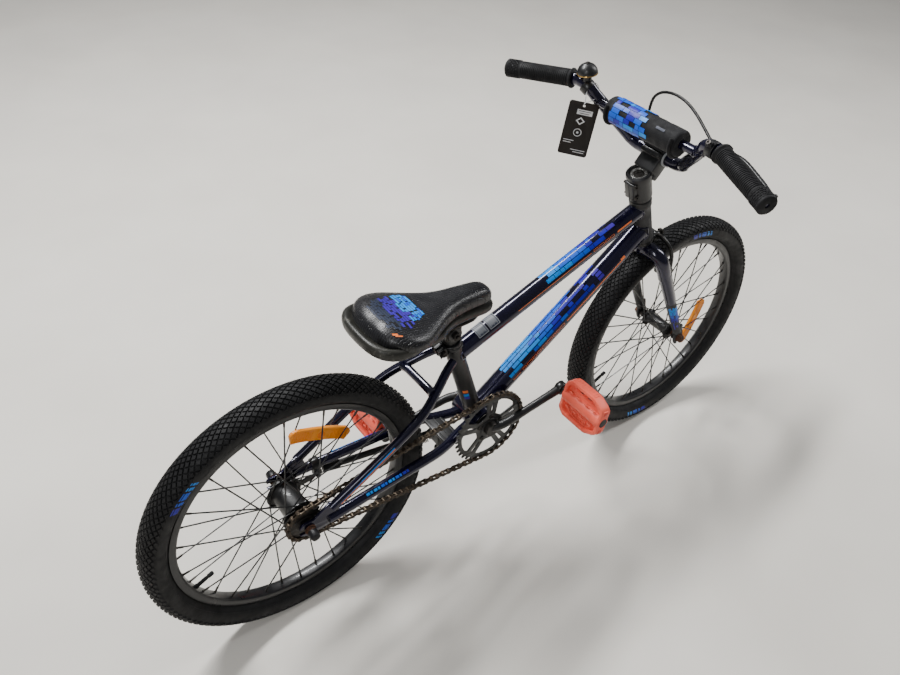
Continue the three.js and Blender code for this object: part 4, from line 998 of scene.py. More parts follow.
def head_and_seat_tubes():
    """The head tube with its cups, the seat tube and the bottom bracket shell with its bearing cups."""
    head = Piece("head_tube_paint")
    base, r = 290, HEAD_TUBE_RADIUS
    head.turned(
        STEER_FOOT, STEER_UP,
        [
            (15.8, base), (r + 1.2, base), (r + 1.6, base + 1), (r + 1.6, base + 7), (r, base + 10),
            (r, base + 82), (r + 1.6, base + 85), (r + 1.6, base + 91), (r + 1.2, base + 92),
            (15.8, base + 92),
        ],
        GREY_MATTE, segments=64, closed=True,
    )
    head.finish("frame", "satin_black_paint", "head_tube", sharp=30)
    for name, rows in (
        ("lower", [(14.9, 280.2), (17.6, 280.2), (19.6, 282), (20.4, 285), (20.4, 289.6), (14.9, 289.6)]),
        (
            "upper",
            [
                (14.9, 382.4), (20.4, 382.4), (20.4, 386), (19.2, 388.5), (17.6, 389.2), (18.6, 389.8),
                (18.6, 393.6), (14.9, 393.6),
            ],
        ),
    ):
        cup = Piece(f"headset_cup_{name}_metal")
        cup.turned(STEER_FOOT, STEER_UP, rows, BLACK_STEEL, segments=56, closed=True)
        cup.finish("frame", "black_steel", f"headset_cup_{name}")

    seat = Piece("seat_tube_paint")
    seat.tube([on_seat_tube(20), on_seat_tube(195.5)], SEAT_TUBE_RADIUS, SATIN, sides=48)
    weld(seat, on_seat_tube(196), -SEAT_UP, SEAT_TUBE_RADIUS, BB, Y_AXIS, SHELL_RADIUS, NAVY)
    for side in (-1, 1):
        for low, ink in ((62, INK_VIOLET), (70, INK_CYAN), (80, INK_ORANGE)):
            tube_patch(seat, BB, SEAT_UP, SEAT_TUBE_RADIUS, (low, low + 7), (side * 1.9, side * 2.5), ink)
    seat.finish("frame", "satin_black_paint", "seat_tube")

    shell = Piece("bottom_bracket_shell_paint")
    half = SHELL_HALF_WIDTH
    shell.turned(
        BB, Y_AXIS,
        [
            (20.5, -half), (24.6, -half), (SHELL_RADIUS, -half + 0.6), (SHELL_RADIUS, half - 0.6),
            (24.6, half), (20.5, half),
        ],
        NAVY, segments=64, closed=True,
    )
    for _, side in SIDES:
        out = side * Y_AXIS
        shell.turned(
            BB + half * out, out,
            [
                (9.5, -3), (20.2, -3), (20.2, 0.2), (22.5, 0.4), (22.9, 1.2), (22.5, 3.2), (17, 4.6),
                (13, 5.6), (9.5, 5.8),
            ],
            BOLT_STEEL, segments=40,
        )
    shell.finish("frame", "gloss_frame_paint", "bottom_bracket_shell")


def dropout(piece, side):
    """The plate that holds the rear axle, with its slot open to the rear."""
    outline = [
        (-17, 258), (-17, 262), (-12, 267), (8, 268), (24, 279), (38, 288), (47, 287), (51, 280),
        (55, 264), (54, 250), (49, 244), (30, 240), (6, 238), (-10, 240), (-17, 245), (-17, 246.6),
        (-2, 246.6), (3, 248), (5.4, 252), (3, 256), (-2, 257.4),
    ]
    piece.plate(outline, 5.0, V(0, side * 57.5, 0), X_AXIS, Z_AXIS, NAVY, bevel=0.8)


def rear_triangle():
    """Chainstays with their dropouts, seatstays and the bridge between them."""
    for name, side in SIDES:
        stay = Piece(f"chainstay_{name}_paint")
        stay.tube(
            chainstay_route(side)[:-1] + [sided((52, 57, 253.2), side), sided((34, 57.5, 253), side)],
            CHAINSTAY_RADIUS, NAVY, sides=28,
        )
        dropout(stay, side)
        start = sided((106, 53.4, 254.4), side)
        run = sided(CHAINSTAY_BEND, side) - sided(CHAINSTAY_NEAR, side)
        for k, ink in enumerate((INK_CYAN, INK_CYAN, INK_AZURE, INK_CYAN, INK_AZURE, INK_ROYAL)):
            for low, width in ((15 * k, 6.5), (15 * k + 8.2, 4.0)):
                spread = (-side * 0.35, -side * 0.85)
                tube_patch(stay, start, run, CHAINSTAY_RADIUS, (low, low + width), spread, ink)
        stay.finish("frame", "gloss_frame_paint", f"chainstay_{name}")

        upper = Piece(f"seatstay_{name}_paint")
        route = seatstay_route(side)
        upper.tube(
            [(*p, SEATSTAY_RADIUS) for p in route[:-1]] + [(*sided((300, 20, 434), side), 7.6)],
            SEATSTAY_RADIUS, NAVY, sides=28,
        )
        low, high = sided((66, 60.5, 292.5), side), sided((110, 60.5, 321), side)
        for turns, ink in (((0.96, 1.2), INK_CYAN), ((1.32, 1.48), INK_ORANGE)):
            spread = (side * -turns[0], side * -turns[1])
            tube_patch(upper, low, high - low, SEATSTAY_RADIUS, (-14, 108), spread, ink)
        upper.finish("frame", "gloss_frame_paint", f"seatstay_{name}")

    bridge = Piece("seatstay_bridge_paint")
    bridge.tube(
        [
            (246, -44, 405, 11), (246, -34, 405, 8), (246, -18, 405, 7.5), (246, 18, 405, 7.5),
            (246, 34, 405, 8), (246, 44, 405, 11),
        ],
        7.5, NAVY, sides=28,
    )
    bridge.finish("frame", "gloss_frame_paint", "seatstay_bridge")


# ------------------------------------------------------------------------------------------------
# Drive
# ------------------------------------------------------------------------------------------------

RING_RADIUS = pitch_radius(RING_TEETH)
COG_RADIUS = pitch_radius(COG_TEETH)
CRANK_DIRECTION = facing(CRANK_ANGLE)
ROLLER_RADIUS = 3.9


def toothed_outline(teeth, radius):
    """Sprocket outline: rounded valleys for the rollers and short blunt teeth."""
    outline = []
    step = 2 * math.pi / teeth
    for k in range(teeth):
        valley = step * (k + 0.5)
        for turn in (-50, 0, 50):
            turn = math.radians(turn)
            inward = (radius - ROLLER_RADIUS * math.cos(turn), ROLLER_RADIUS * math.sin(turn))
            angle = valley + inward[1] / radius
            outline.append((inward[0] * math.cos(angle), inward[0] * math.sin(angle)))
        for share in (0.39, 0.61):
            angle = valley + share * step
            outline.append(((radius + 3.0) * math.cos(angle), (radius + 3.0) * math.sin(angle)))
    return outline


def ring_window(low, high, inner_spread, outer_spread, turn):
    """A window between two radii, with its corners eased."""
    corners = []
    for k in range(9):
        angle = turn + outer_spread * (k / 4 - 1)
        ease = 2.5 if k in (0, 8) else 0
        corners.append(((high - ease) * math.cos(angle), (high - ease) * math.sin(angle)))
    for k in range(5):
        angle = turn - inner_spread * (k / 2 - 1)
        ease = 2.0 if k in (0, 4) else 0
        corners.append(((low + ease) * math.cos(angle), (low + ease) * math.sin(angle)))
    return corners


def chainring():
    """A five-armed chainring, its windows cut between the arms and a slot in each arm."""
    ring = Piece("chainring_metal")
    turns = [CRANK_ANGLE + 2 * math.pi * (k + 0.5) / 5 for k in range(5)]
    windows = [ring_window(29, 62, math.radians(17), math.radians(24), turn) for turn in turns]
    slots = [
        ring_window(34, 58, math.radians(2.2), math.radians(2.6), turn + math.pi / 5) for turn in turns
    ]
    centre = BB + CHAIN_Y * Y_AXIS
    ring.plate(
        toothed_outline(RING_TEETH, RING_RADIUS), 2.6, centre, X_AXIS, Z_AXIS, BLACK_STEEL,
        windows + slots, 0.35,
    )
    for turn in turns:
        arm = turn + math.pi / 5
        spot = centre + 25.5 * facing(arm)
        ring.turned(
            spot, -Y_AXIS, [(4.4, -1.6), (4.4, 2.2), (3.6, 3.2), (2.0, 3.2), (1.9, 2.2), (0, 2.2)],
            BOLT_STEEL, 20,
        )
    ring.turned(
        centre, -Y_AXIS, [(12.5, -1.4), (19.5, -1.4), (20, 0), (19.5, 2.6), (14, 3.4), (12.5, 3.4)],
        BLACK_STEEL, 48, closed=True,
    )
    ring.finish("crank", "black_steel", "chainring", sharp=30)


def cog():
    """The rear cog on its driver."""
    piece = Piece("rear_cog_metal")
    centre = REAR_AXLE + CHAIN_Y * Y_AXIS
    piece.plate(
        toothed_outline(COG_TEETH, COG_RADIUS), 2.4, centre, X_AXIS, Z_AXIS, BOLT_STEEL, bevel=0.3
    )
    piece.turned(
        centre, Y_AXIS, [(9.2, -2.4), (16, -2.4), (17, -1.6), (17, 7.4), (9.2, 7.4)], BOLT_STEEL, 40,
        closed=True,
    )
    for k in range(3):
        turn = 2 * math.pi * k / 3 + 0.4
        spot = centre - 1.6 * Y_AXIS + 22 * facing(turn)
        piece.turned(spot, -Y_AXIS, [(2.4, -0.4), (2.4, 0.3), (0, 0.3)], BLACK_STEEL, 12)
    piece.finish("driver", "black_steel", "rear_cog", sharp=30)


def chain_points(count):
    """Roller places spread evenly round both sprockets, as points in the chain's plane."""
    run = BB - REAR_AXLE
    length = run.length
    tilt = math.atan2(run.z, run.x)
    lean = math.asin((RING_RADIUS - COG_RADIUS) / length)
    straight = length * math.cos(lean)
    ring_wrap = RING_RADIUS * (math.pi + 2 * lean)
    cog_wrap = COG_RADIUS * (math.pi - 2 * lean)
    total = 2 * straight + ring_wrap + cog_wrap
    points = []
    for k in range(count):
        along = (total * (k + 0.5) / count) % total
        if along < ring_wrap:
            turn = tilt - math.pi / 2 - lean + along / RING_RADIUS
            points.append(BB + RING_RADIUS * facing(turn))
            continue
        along -= ring_wrap
        if along < straight:
            turn = tilt + math.pi / 2 + lean
            start = BB + RING_RADIUS * facing(turn)
            points.append(start + along * facing(turn + math.pi / 2))
            continue
        along -= straight
        if along < cog_wrap:
            turn = tilt + math.pi / 2 + lean + along / COG_RADIUS
            points.append(REAR_AXLE + COG_RADIUS * facing(turn))
            continue
        along -= cog_wrap
        turn = tilt - math.pi / 2 - lean
        start = REAR_AXLE + COG_RADIUS * facing(turn)
        points.append(start + along * facing(turn + math.pi / 2))
    return points


def link_plate(piece, a, b, y, thickness, radius, waist):
    """One waisted chain plate between two pins."""
    along = (b - a).normalized()
    up = Y_AXIS.cross(along)
    outline = []
    for end, way in ((b, 1), (a, -1)):
        for k in range(9):
            turn = math.radians(-120 + 30 * k)
            outline.append(end + way * radius * blend(along, up, turn))
        if way == 1:
            outline.append((a + b) / 2 + waist * up)
    outline.append((a + b) / 2 - waist * up)
    rings = [[p + (y + shift) * Y_AXIS for p in outline] for shift in (-thickness / 2, thickness / 2)]
    piece.grid(rings, CHAIN_STEEL)


def chain():
    """Inner and outer links in turn, with a roller and a pin at each joint."""
    piece = Piece("chain_links")
    points = chain_points(CHAIN_LINKS)
    for k, point in enumerate(points):
        after = points[(k + 1) % len(points)]
        outer = k % 2 == 0
        for side in (-1, 1):
            offset = side * (3.55 if outer else 2.3)
            link_plate(piece, point, after, CHAIN_Y + offset, 1.1, 4.1, 2.7)
        spot = point + CHAIN_Y * Y_AXIS
        piece.turned(
            spot, Y_AXIS, [(0, -4.9), (1.6, -4.9), (1.8, -4.6), (1.8, 4.6), (1.6, 4.9), (0, 4.9)],
            BOLT_STEEL, 10,
        )
        piece.turned(
            spot, Y_AXIS, [(ROLLER_RADIUS - 0.1, -1.6), (ROLLER_RADIUS - 0.1, 1.6)], CHAIN_STEEL, 12
        )
    piece.finish("frame", "chain_steel", "chain", sharp=35)


def pedal_centre(side):
    return BB - side * CRANK_LENGTH * CRANK_DIRECTION + side * (PEDAL_INNER_Y + PEDAL_LENGTH / 2) * Y_AXIS


def crank():
    """A one-piece crank: axle, bearing cones, both arms and the pedal bosses."""
    piece = Piece("crank_metal")
    piece.rod(BB, Y_AXIS, 8.5, (-55, 55), BLACK_STEEL, 32)
    for profile in (
        [(8, -58), (13, -58), (14, -56), (14, -48.2), (8, -48.2)],
        [(8, -44.2), (14, -44.2), (14, -41.6), (8, -41.6)],
    ):
        piece.turned(BB, Y_AXIS, profile, BOLT_STEEL, 32)
    piece.hexagon(BB + 41 * Y_AXIS, Y_AXIS, 24, 5, BOLT_STEEL)
    for _, side in SIDES:
        route = []
        for out, y, radius in (
            (-4, 48, 8.4), (4, 52, 8.6), (15, 57.5, 8.4), (34, 61.5, 8.0), (80, 65, 7.4), (120, 68, 7.6),
            (150, 70, 8.4),
        ):
            point = BB - side * out * CRANK_DIRECTION + side * y * Y_AXIS
            route.append((*point, radius))
        piece.tube(route, 8, BLACK_STEEL, sides=28)
        boss = BB - side * CRANK_LENGTH * CRANK_DIRECTION
        out = side * Y_AXIS
        piece.turned(
            boss, out, [(6.9, 63), (11.2, 63), (12, 64), (12, 76), (11.2, 77), (6.9, 77)], BLACK_STEEL,
            40, closed=True,
        )
    piece.finish("crank", "black_steel", "crank", sharp=50)


PEDAL_OUTLINE = [
    (-25, 0), (25, 0), (31, 3), (38, 12), (39, 16), (39, 66), (38, 71), (30, 88), (25, 94), (20, 95),
    (-20, 95), (-25, 94), (-30, 88), (-38, 71), (-39, 66), (-39, 16), (-38, 12), (-31, 3),
]
D_RIB = [
    (-14, 19), (-14, 75), (-19, 78), (-27, 73), (-31, 62), (-31.5, 47), (-31, 32), (-27, 21), (-19, 16)
]
D_WINDOW = [
    (-16, 22), (-16, 72), (-19, 75), (-25, 70), (-28.5, 60), (-29, 47), (-28.5, 34), (-25, 24), (-19, 19)
]


def rounded_slot(centre, length, width):
    """A slot with round ends, its long way along the second axis."""
    reach = (length - width) / 2
    ends = ((0, reach), (180, -reach))
    return [p for first, shift in ends for p in arc(width / 2, first, 30, 7, (centre[0], centre[1] + shift))]


def pedal(name, side):
    """A moulded block pedal: frame, web with its D-shaped rib, spindle barrel and grip studs."""
    piece = Piece(f"pedal_{name}_body")
    centre = pedal_centre(side)
    wide = facing(PEDAL_TILT)
    thick = V(-math.sin(PEDAL_TILT), 0, math.cos(PEDAL_TILT))
    out = side * Y_AXIS
    root = centre - PEDAL_LENGTH / 2 * out
    middle = PEDAL_LENGTH / 2
    well = [(x * 0.83, middle + (y - middle) * 0.86) for x, y in PEDAL_OUTLINE]
    web = [(x * 0.9, middle + (y - middle) * 0.92) for x, y in PEDAL_OUTLINE]
    slots = [rounded_slot((23.5, 47), 62, 7)]
    piece.plate(PEDAL_OUTLINE, 22, root, wide, out, CORAL, [well], 1.4)
    piece.plate(web, 6, root, wide, out, CORAL, slots, 0.8)
    for face in (-1, 1):
        piece.plate(D_RIB, 1.6, root + face * 4.2 * thick, wide, out, CORAL, [D_WINDOW], 0.5)
        for k in range(4):
            spot = root + face * 4 * thick - 23 * wide + (30 + 11 * k) * out
            piece.block(spot, (9, 1.8, 3), CORAL, wide, thick, bevel=0.5, rounds=1)
    piece.turned(
        root, out,
        [
            (7, -1), (10.5, -1), (12.6, 1), (13.4, 6), (13.4, 88), (12.6, 94), (10.5, 96), (9.4, 96),
            (9.4, 94.4), (7, 94.4),
        ],
        CORAL, 48, closed=True,
    )
    piece.turned(
        root + 94 * out, out, [(0, -2), (9.2, -2), (9.2, 1), (8.4, 2.4), (0, 3)], PLASTIC_BLACK, 32
    )
    piece.rod(root, out, 6.3, (-22, -9), BOLT_STEEL, 28)
    piece.hexagon(root - 9 * out, out, 14.6, 6, BOLT_STEEL)
    piece.turned(root, out, [(6.4, -3), (6.4, 3), (0, 3)], BOLT_STEEL, 24)
    for face in (-1, 1):
        level = face * 10.2 * thick
        for end in (-1, 1):
            for k in range(8):
                spot = root + level + end * 34.2 * wide + (14 + 8.2 * k) * out
                piece.block(spot, (3.4, 3.4, 2.4), CORAL, wide, thick, bevel=0.5, rounds=1)
            for k in range(4):
                spot = root + level + end * 15.6 * wide + (18 + 19 * k) * out
                piece.block(spot, (3.0, 9, 2.0), CORAL, wide, thick, bevel=0.5, rounds=1)
    for end in (-1, 1):
        edge = root + end * 38.8 * wide + 40 * out
        piece.block(edge, (1.8, 54, 13), CORAL, wide, thick, bevel=0.7)
        for k in range(7):
            rib = edge + end * 0.9 * wide + (-21 + 7 * k) * out
            piece.block(rib, (1.0, 2.0, 11), CORAL, wide, thick, bevel=0.3, rounds=1)
        piece.block(root + end * 20 * wide + 93.6 * out, (11, 3, 12), CORAL, wide, thick, bevel=1.0)
        # painted shade: a thin darker coral sheet on the outer face of each end block
        piece.block(
            root + end * 20 * wide + 94.7 * out, (7.4, 1.4, 8.4), CORAL_PAINTED_SHADE, wide, thick, bevel=0.4
        )
    piece.finish(f"pedal_{name}", "coral_plastic", f"pedal_{name}", sharp=40)


def coaster_arm():
    """The brake arm of the rear hub, with the strap and bolt that hold it to the left chainstay."""
    piece = Piece("coaster_arm_metal")
    outline = [
        (-13, 250), (-11, 243), (-4, 239), (4, 238), (20, 234), (40, 229), (62, 230), (68, 235),
        (66, 241), (58, 243), (42, 241), (28, 251), (14, 262), (4, 266), (-8, 264), (-13, 257),
    ]
    axle_hole = arc(8.5, 0, -30, 12, (0, WHEEL_RADIUS))
    piece.plate(outline, 2.8, V(0, 45.5, 0), X_AXIS, Z_AXIS, BLACK_STEEL, [axle_hole], 0.6)
    piece.tube([(6, 47.2, 246), (30, 47.2, 237), (58, 47.2, 236)], 1.6, BLACK_STEEL, sides=12)
    stay = [V(*CHAINSTAY_NEAR), V(*CHAINSTAY_END)]
    run = (stay[1] - stay[0]).normalized()
    middle = stay[0].lerp(stay[1], 0.62)
    piece.turned(
        middle, run, [(9.3, -7), (11.4, -7), (11.9, -6), (11.9, 6), (11.4, 7), (9.3, 7)], BLACK_STEEL, 40,
        closed=True,
    )
    piece.block(middle + V(0, -7, -13), (13, 8, 9), BLACK_STEEL, run, bevel=1.2)
    bolt = middle + V(-1, -13, -15)
    piece.hexagon(bolt, -Y_AXIS, 9, 4, BOLT_STEEL)
    piece.rod(bolt, Y_AXIS, 2.5, (0, 15), BOLT_STEEL, 16)
    piece.finish("frame", "black_steel", "coaster_arm")


# ------------------------------------------------------------------------------------------------
# Kickstand, seat post and saddle
# ------------------------------------------------------------------------------------------------

STAND_PIVOT = V(298, 24, 226)
STAND_AXIS = V(0, 1, 0.3).normalized()
STAND_FOOT = V(95, 56, 231)


def kickstand():
    """The mount under the chainstays, and the folded leg with its foot and spring."""
    mount = Piece("kickstand_mount_metal")
    mount.block(V(300, 0, 259.2), (34, 66, 6), BLACK_STEEL, bevel=1.5)
    mount.block(V(300, 2, 243), (28, 28, 30), BLACK_STEEL, bevel=3.5, rounds=3)
    for x in (288, 300, 312):
        mount.block(V(x, 0, 262.6), (3, 60, 2), BLACK_STEEL, bevel=0.6)
    mount.turned(
        V(300, 2, 230), -Z_AXIS, [(5, -2), (9.5, -2), (9.5, 0), (5, 0.4), (5, 26), (0, 26)], BOLT_STEEL,
        28,
    )
    mount.hexagon(V(300, 2, 204), -Z_AXIS, 15, 8, BOLT_STEEL)
    mount.turned(V(300, 2, 206), -Z_AXIS, [(5, -2), (10, -2), (10, 0), (5, 0)], BOLT_STEEL, 28)
    mount.finish("frame", "black_steel", "kickstand_mount")

    leg = Piece("kickstand_leg_metal")
    leg.turned(
        STAND_PIVOT, STAND_AXIS,
        [(0, -6.5), (9.4, -6.5), (10.5, -5.4), (10.5, 6.8), (9.4, 8), (5, 8), (4.6, 9), (0, 9.3)],
        BLACK_STEEL, 36,
    )
    start = STAND_PIVOT + STAND_AXIS * 2
    leg.tube(
        [
            (*start, 6.4), (*start.lerp(STAND_FOOT, 0.16), 6.2), (*start.lerp(STAND_FOOT, 0.5), 6.0),
            (*start.lerp(STAND_FOOT, 0.93), 6.0),
        ],
        6, BLACK_STEEL, sides=24,
    )
    run = (STAND_FOOT - start).normalized()
    leg.turned(
        STAND_FOOT, run,
        [(0, -24), (6.2, -24), (7.4, -22), (7.8, -2), (8.4, 3), (8.4, 6.5), (7.2, 7.8), (0, 7.8)],
        GRIP_RUBBER, 28,
    )
    coil = []
    spring_start = STAND_PIVOT + V(-8, -6, -6)
    first, second = across(run)
    for k in range(73):
        turn = 2 * math.pi * k / 8
        coil.append(spring_start + run * (4 + 0.36 * k) + 3.0 * blend(first, second, turn))
    leg.tube(coil, 0.7, BOLT_STEEL, sides=6, per=2)
    leg.finish("kickstand", "black_steel", "kickstand_leg")


def seat_hardware():
    """The seat collar, post, saddle clamp and rails."""
    collar = Piece("seat_collar_metal")
    r = SEAT_TUBE_RADIUS
    collar.turned(
        BB, SEAT_UP,
        [
            (14, 196.3), (r + 2, 196.3), (18.4, 197), (18.4, 203), (17.6, 204), (18.4, 205), (18.4, 210),
            (r + 1.4, 211), (14, 211),
        ],
        SATIN, 56, closed=True,
    )
    ear = on_seat_tube(204) + V(-22.5, 0, -6)
    for _, side in SIDES:
        collar.block(
            ear + side * 6 * Y_AXIS, (14, 9, 12), SATIN, SEAT_UP.cross(Y_AXIS), SEAT_UP, bevel=1.6
        )
    bolt = ear + V(-1, 0, 0)
    collar.turned(
        bolt, Y_AXIS, [(0, -14), (5, -14), (5, -10.5), (3, -10.5), (3, 15), (0, 15)], BOLT_STEEL, 20
    )
    collar.hexagon(bolt + 10.5 * Y_AXIS, Y_AXIS, 10, 5, BOLT_STEEL)
    collar.hexagon(bolt - 10.5 * Y_AXIS, -Y_AXIS, 10, 5, BOLT_STEEL)
    collar.finish("frame", "satin_black_paint", "seat_collar")

    post = Piece("seat_post_metal")
    post.turned(
        BB, SEAT_UP,
        [
            (0, 72), (POST_RADIUS - 1, 72), (POST_RADIUS, 73), (POST_RADIUS, 222), (11.6, 228),
            (11.1, 230), (11.1, 251), (0, 251),
        ],
        SATIN, 56,
    )
    for up in (214, 217):
        post.turned(
            BB, SEAT_UP, [(POST_RADIUS, up - 0.5), (POST_RADIUS + 0.06, up), (POST_RADIUS, up + 0.5)],
            BOLT_STEEL, 56,
        )
    post.finish("seat_post", "satin_black_paint", "seat_post")

    clamp = Piece("saddle_clamp_metal")
    pivot = on_seat_tube(243)
    for _, side in SIDES:
        cheek = pivot + side * 18.4 * Y_AXIS
        clamp.block(cheek + V(0, 0, 5), (30, 7.6, 33), BOLT_STEEL, bevel=3)
        clamp.turned(cheek, side * Y_AXIS, [(13, 3), (14, 3.8), (13, 6), (0, 6)], BLACK_STEEL, 40)
        clamp.hexagon(cheek + side * 6 * Y_AXIS, side * Y_AXIS, 13, 6, BOLT_STEEL)
        clamp.turned(
            cheek + side * 10 * Y_AXIS, side * Y_AXIS, [(3.9, 0), (3.9, 5), (0, 5.6)], BOLT_STEEL, 20
        )
    clamp.block(pivot + V(0, 0, 18.5), (30, 44, 7.6), BOLT_STEEL, bevel=2)
    clamp.turned(
        pivot, Y_AXIS, [(14.2, -14), (15, -13), (15, 13), (14.2, 14), (11.3, 14), (11.3, -14)],
        BLACK_STEEL, 40, closed=True,
    )
    clamp.finish("saddle", "black_steel", "saddle_clamp")

    rails = Piece("saddle_rails_metal")
    centre = V(pivot.x, 0, pivot.z + 16)
    half = [
        (-88, 42, 22), (-68, 35, 11), (-42, 24, 0), (-26, 22, 0), (26, 22, 0), (42, 19, 1), (60, 10, 5),
        (66, 0, 7),
    ]
    route = half + [(x, -y, z) for x, y, z in reversed(half[:-1])]
    rails.tube([centre + V(*p) for p in route], 3.5, BOLT_STEEL, sides=20)
    rails.finish("saddle", "black_steel", "saddle_rails")


SADDLE_TAIL_X = 128.0
SADDLE_LENGTH = 253.0
SADDLE_SPLIT = 553.0
CUSHION_PRINT_LIFT = 0.22
SADDLE_FRONT = [
    (118, 53), (140, 40), (165, 30), (200, 24.5), (225, 22.5), (240, 19), (249, 12), (SADDLE_LENGTH, 0)
]
BASE_PLAN = [
    (0, 0), (0.6, 18), (3, 36), (10, 52), (20, 62), (32, 67), (46, 68), (62, 66), (84, 60), *SADDLE_FRONT,
]
CUSHION_PLAN = [
    (13, 0), (13.6, 16), (16, 32), (23, 49), (34, 62), (48, 71), (66, 75), (88, 70), *SADDLE_FRONT,
]

BASE_STATIONS = (
    [0.05, 0.3, 0.9, 2, 4, 7, 11, 16, 22]
    + [28 + 7.5 * k for k in range(28)]
    + [SADDLE_LENGTH - step for step in (14, 9, 5, 2.4, 0.8, 0.05)]
)


def half_width_in(plan):
    """A function from distance along the saddle to half width, from a smooth curve through a plan."""
    curve = smooth_path([V(along, half, 0) for along, half in plan], 12)

    def half_width(along):
        for a, b in zip(curve, curve[1:]):
            if along <= b.x:
                share = (along - a.x) / max(1e-6, b.x - a.x)
                return a.y + (b.y - a.y) * share
        return 0.0

    return half_width


cushion_half_width = half_width_in(CUSHION_PLAN)


def cushion_point(along, turn, lift=0.0):
    """A point on the padded top: turn runs from -90 degrees at the left edge to 90 at the right."""
    half = cushion_half_width(along) + lift
    tail = min(1.0, (along - CUSHION_PLAN[0][0]) / 26)
    nose = min(1.0, (SADDLE_LENGTH - along) / 22)
    closing = (1 - (1 - tail) ** 2.4) ** 0.5 * (1 - (1 - nose) ** 2.4) ** 0.5
    kick = 3.5 * math.exp(-(((along - 46) / 26) ** 2))
    fall = 0.125 * along - 9.0 * (1 / (1 + math.exp((170 - along) / 22)))
    height = (24.0 + kick) * closing + lift
    sine, cosine = math.sin(turn), max(0.0, math.cos(turn))
    y = half * math.copysign(abs(sine) ** 0.9, sine)
    trough = 1.6 * math.exp(-((y / 15) ** 2)) * closing
    return V(SADDLE_TAIL_X + along, -y, SADDLE_SPLIT + 0.3 - fall + height * cosine**0.62 - trough)


def saddle():
    """The padded cushion with its print, over a base that shows as a bumper round the tail."""
    cushion = Piece("saddle_cushion_vinyl")
    rings = []
    steps = 72
    tail = CUSHION_PLAN[0][0]
    stations = [tail + step for step in (0.05, 0.3, 0.9, 2, 4, 7, 11, 16, 21)]
    stations += [tail + 26 + 5.2 * k for k in range(38)]
    stations += [SADDLE_LENGTH - step for step in (12, 8, 5, 2.6, 1.2, 0.4, 0.05)]
    for along in stations:
        rings.append([cushion_point(along, math.pi * (k / steps - 0.5)) for k in range(steps + 1)])
    cushion.grid(rings, VINYL)
    chance = random.Random(5)
    row_depth = 4.6
    for row in range(16):
        along = 34 + row_depth * row
        share = row / 15
        middle = math.radians(-4 + 12 * (1 - share))
        reach = math.radians(30 - 12 * abs(share - 0.45) + chance.uniform(-5, 5))
        turn = middle - reach
        while turn < middle + reach:
            size = math.radians(chance.choice((5, 8, 11)))
            ink = saddle_ink(share, chance)
            if chance.random() > 0.1:
                brick_on_cushion(cushion, along, row_depth - 0.8, turn, size - math.radians(0.9), ink)
            turn += size
    brick_on_cushion(cushion, 34, 7, math.radians(46), math.radians(5), INK_ORANGE)
    brick_on_cushion(cushion, 37, 9, math.radians(50), math.radians(3), INK_ORANGE)
    made = cushion.finish("saddle", "saddle_vinyl", "saddle_cushion", sharp=55)

    base = Piece("saddle_base_plastic")
    profile = [
        (-2.5, -12.6), (0.6, -13.4), (2.6, -11), (3.6, -6), (3.4, -1.5), (2.2, 1.6), (-0.6, 3.2),
        (-5, 3.4), (-9, 1.4), (-13, 0),
    ]
    half_width = half_width_in(BASE_PLAN)
    right = [V(SADDLE_TAIL_X + a, -half_width(a), 0) for a in BASE_STATIONS]
    points = right + [V(p.x, -p.y, 0) for p in reversed(right)]
    loops = []
    for grow, rise in profile:
        loop = []
        for i, p in enumerate(points):
            run = (points[(i + 1) % len(points)] - points[i - 1]).normalized()
            along = p.x - SADDLE_TAIL_X
            bumper = 1 - min(1.0, max(0.0, (along - 70) / 40))
            inward = grow if grow > -2 else grow * (0.2 + 0.8 * bumper)
            lift = rise if rise < 0 else rise * bumper * 1.6
            loop.append(p + inward * V(run.y, -run.x, 0) + V(0, 0, SADDLE_SPLIT - 0.125 * along + lift))
        loops.append(loop)
    base.grid(loops, WORN_BASE)
    base.finish("saddle", "black_plastic", "saddle_base", sharp=50)


def brick_on_cushion(piece, along, size, turn, height, ink):
    rings = []
    for k in range(3):
        at = along + size * k / 2
        rings.append([cushion_point(at, turn + height * (j / 2 - 0.5), CUSHION_PRINT_LIFT) for j in range(3)])
    piece.grid(rings, ink, wrap=False)


def saddle_ink(share, chance):
    """Slate at the tail end of the print, then violet, then cyan towards the nose."""
    if share < 0.3:
        return INK_SLATE
    if share < 0.4:
        return chance.choice((INK_SLATE, INK_VIOLET))
    if share < 0.66:
        return INK_VIOLET
    if share < 0.74:
        return chance.choice((INK_VIOLET, INK_CYAN))
    return chance.choice((INK_CYAN, INK_CYAN, INK_AZURE))


# ------------------------------------------------------------------------------------------------
# Fork, stem and handlebar
# ------------------------------------------------------------------------------------------------

STEM_BOTTOM = 394.0
STEM_TOP = 448.0
STEM_REACH = BAR_CENTRE - steer(0, 0, STEM_TOP - 18)
REACH_FORWARD = STEM_REACH.normalized()
REACH_UP = REACH_FORWARD.cross(Y_AXIS).normalized()
LEG_TOP_RADIUS = 13.2
LEG_LENGTH = 195.0
LEG_TAPER = 0.0256
LEG_PRINT_LIFT = 0.14


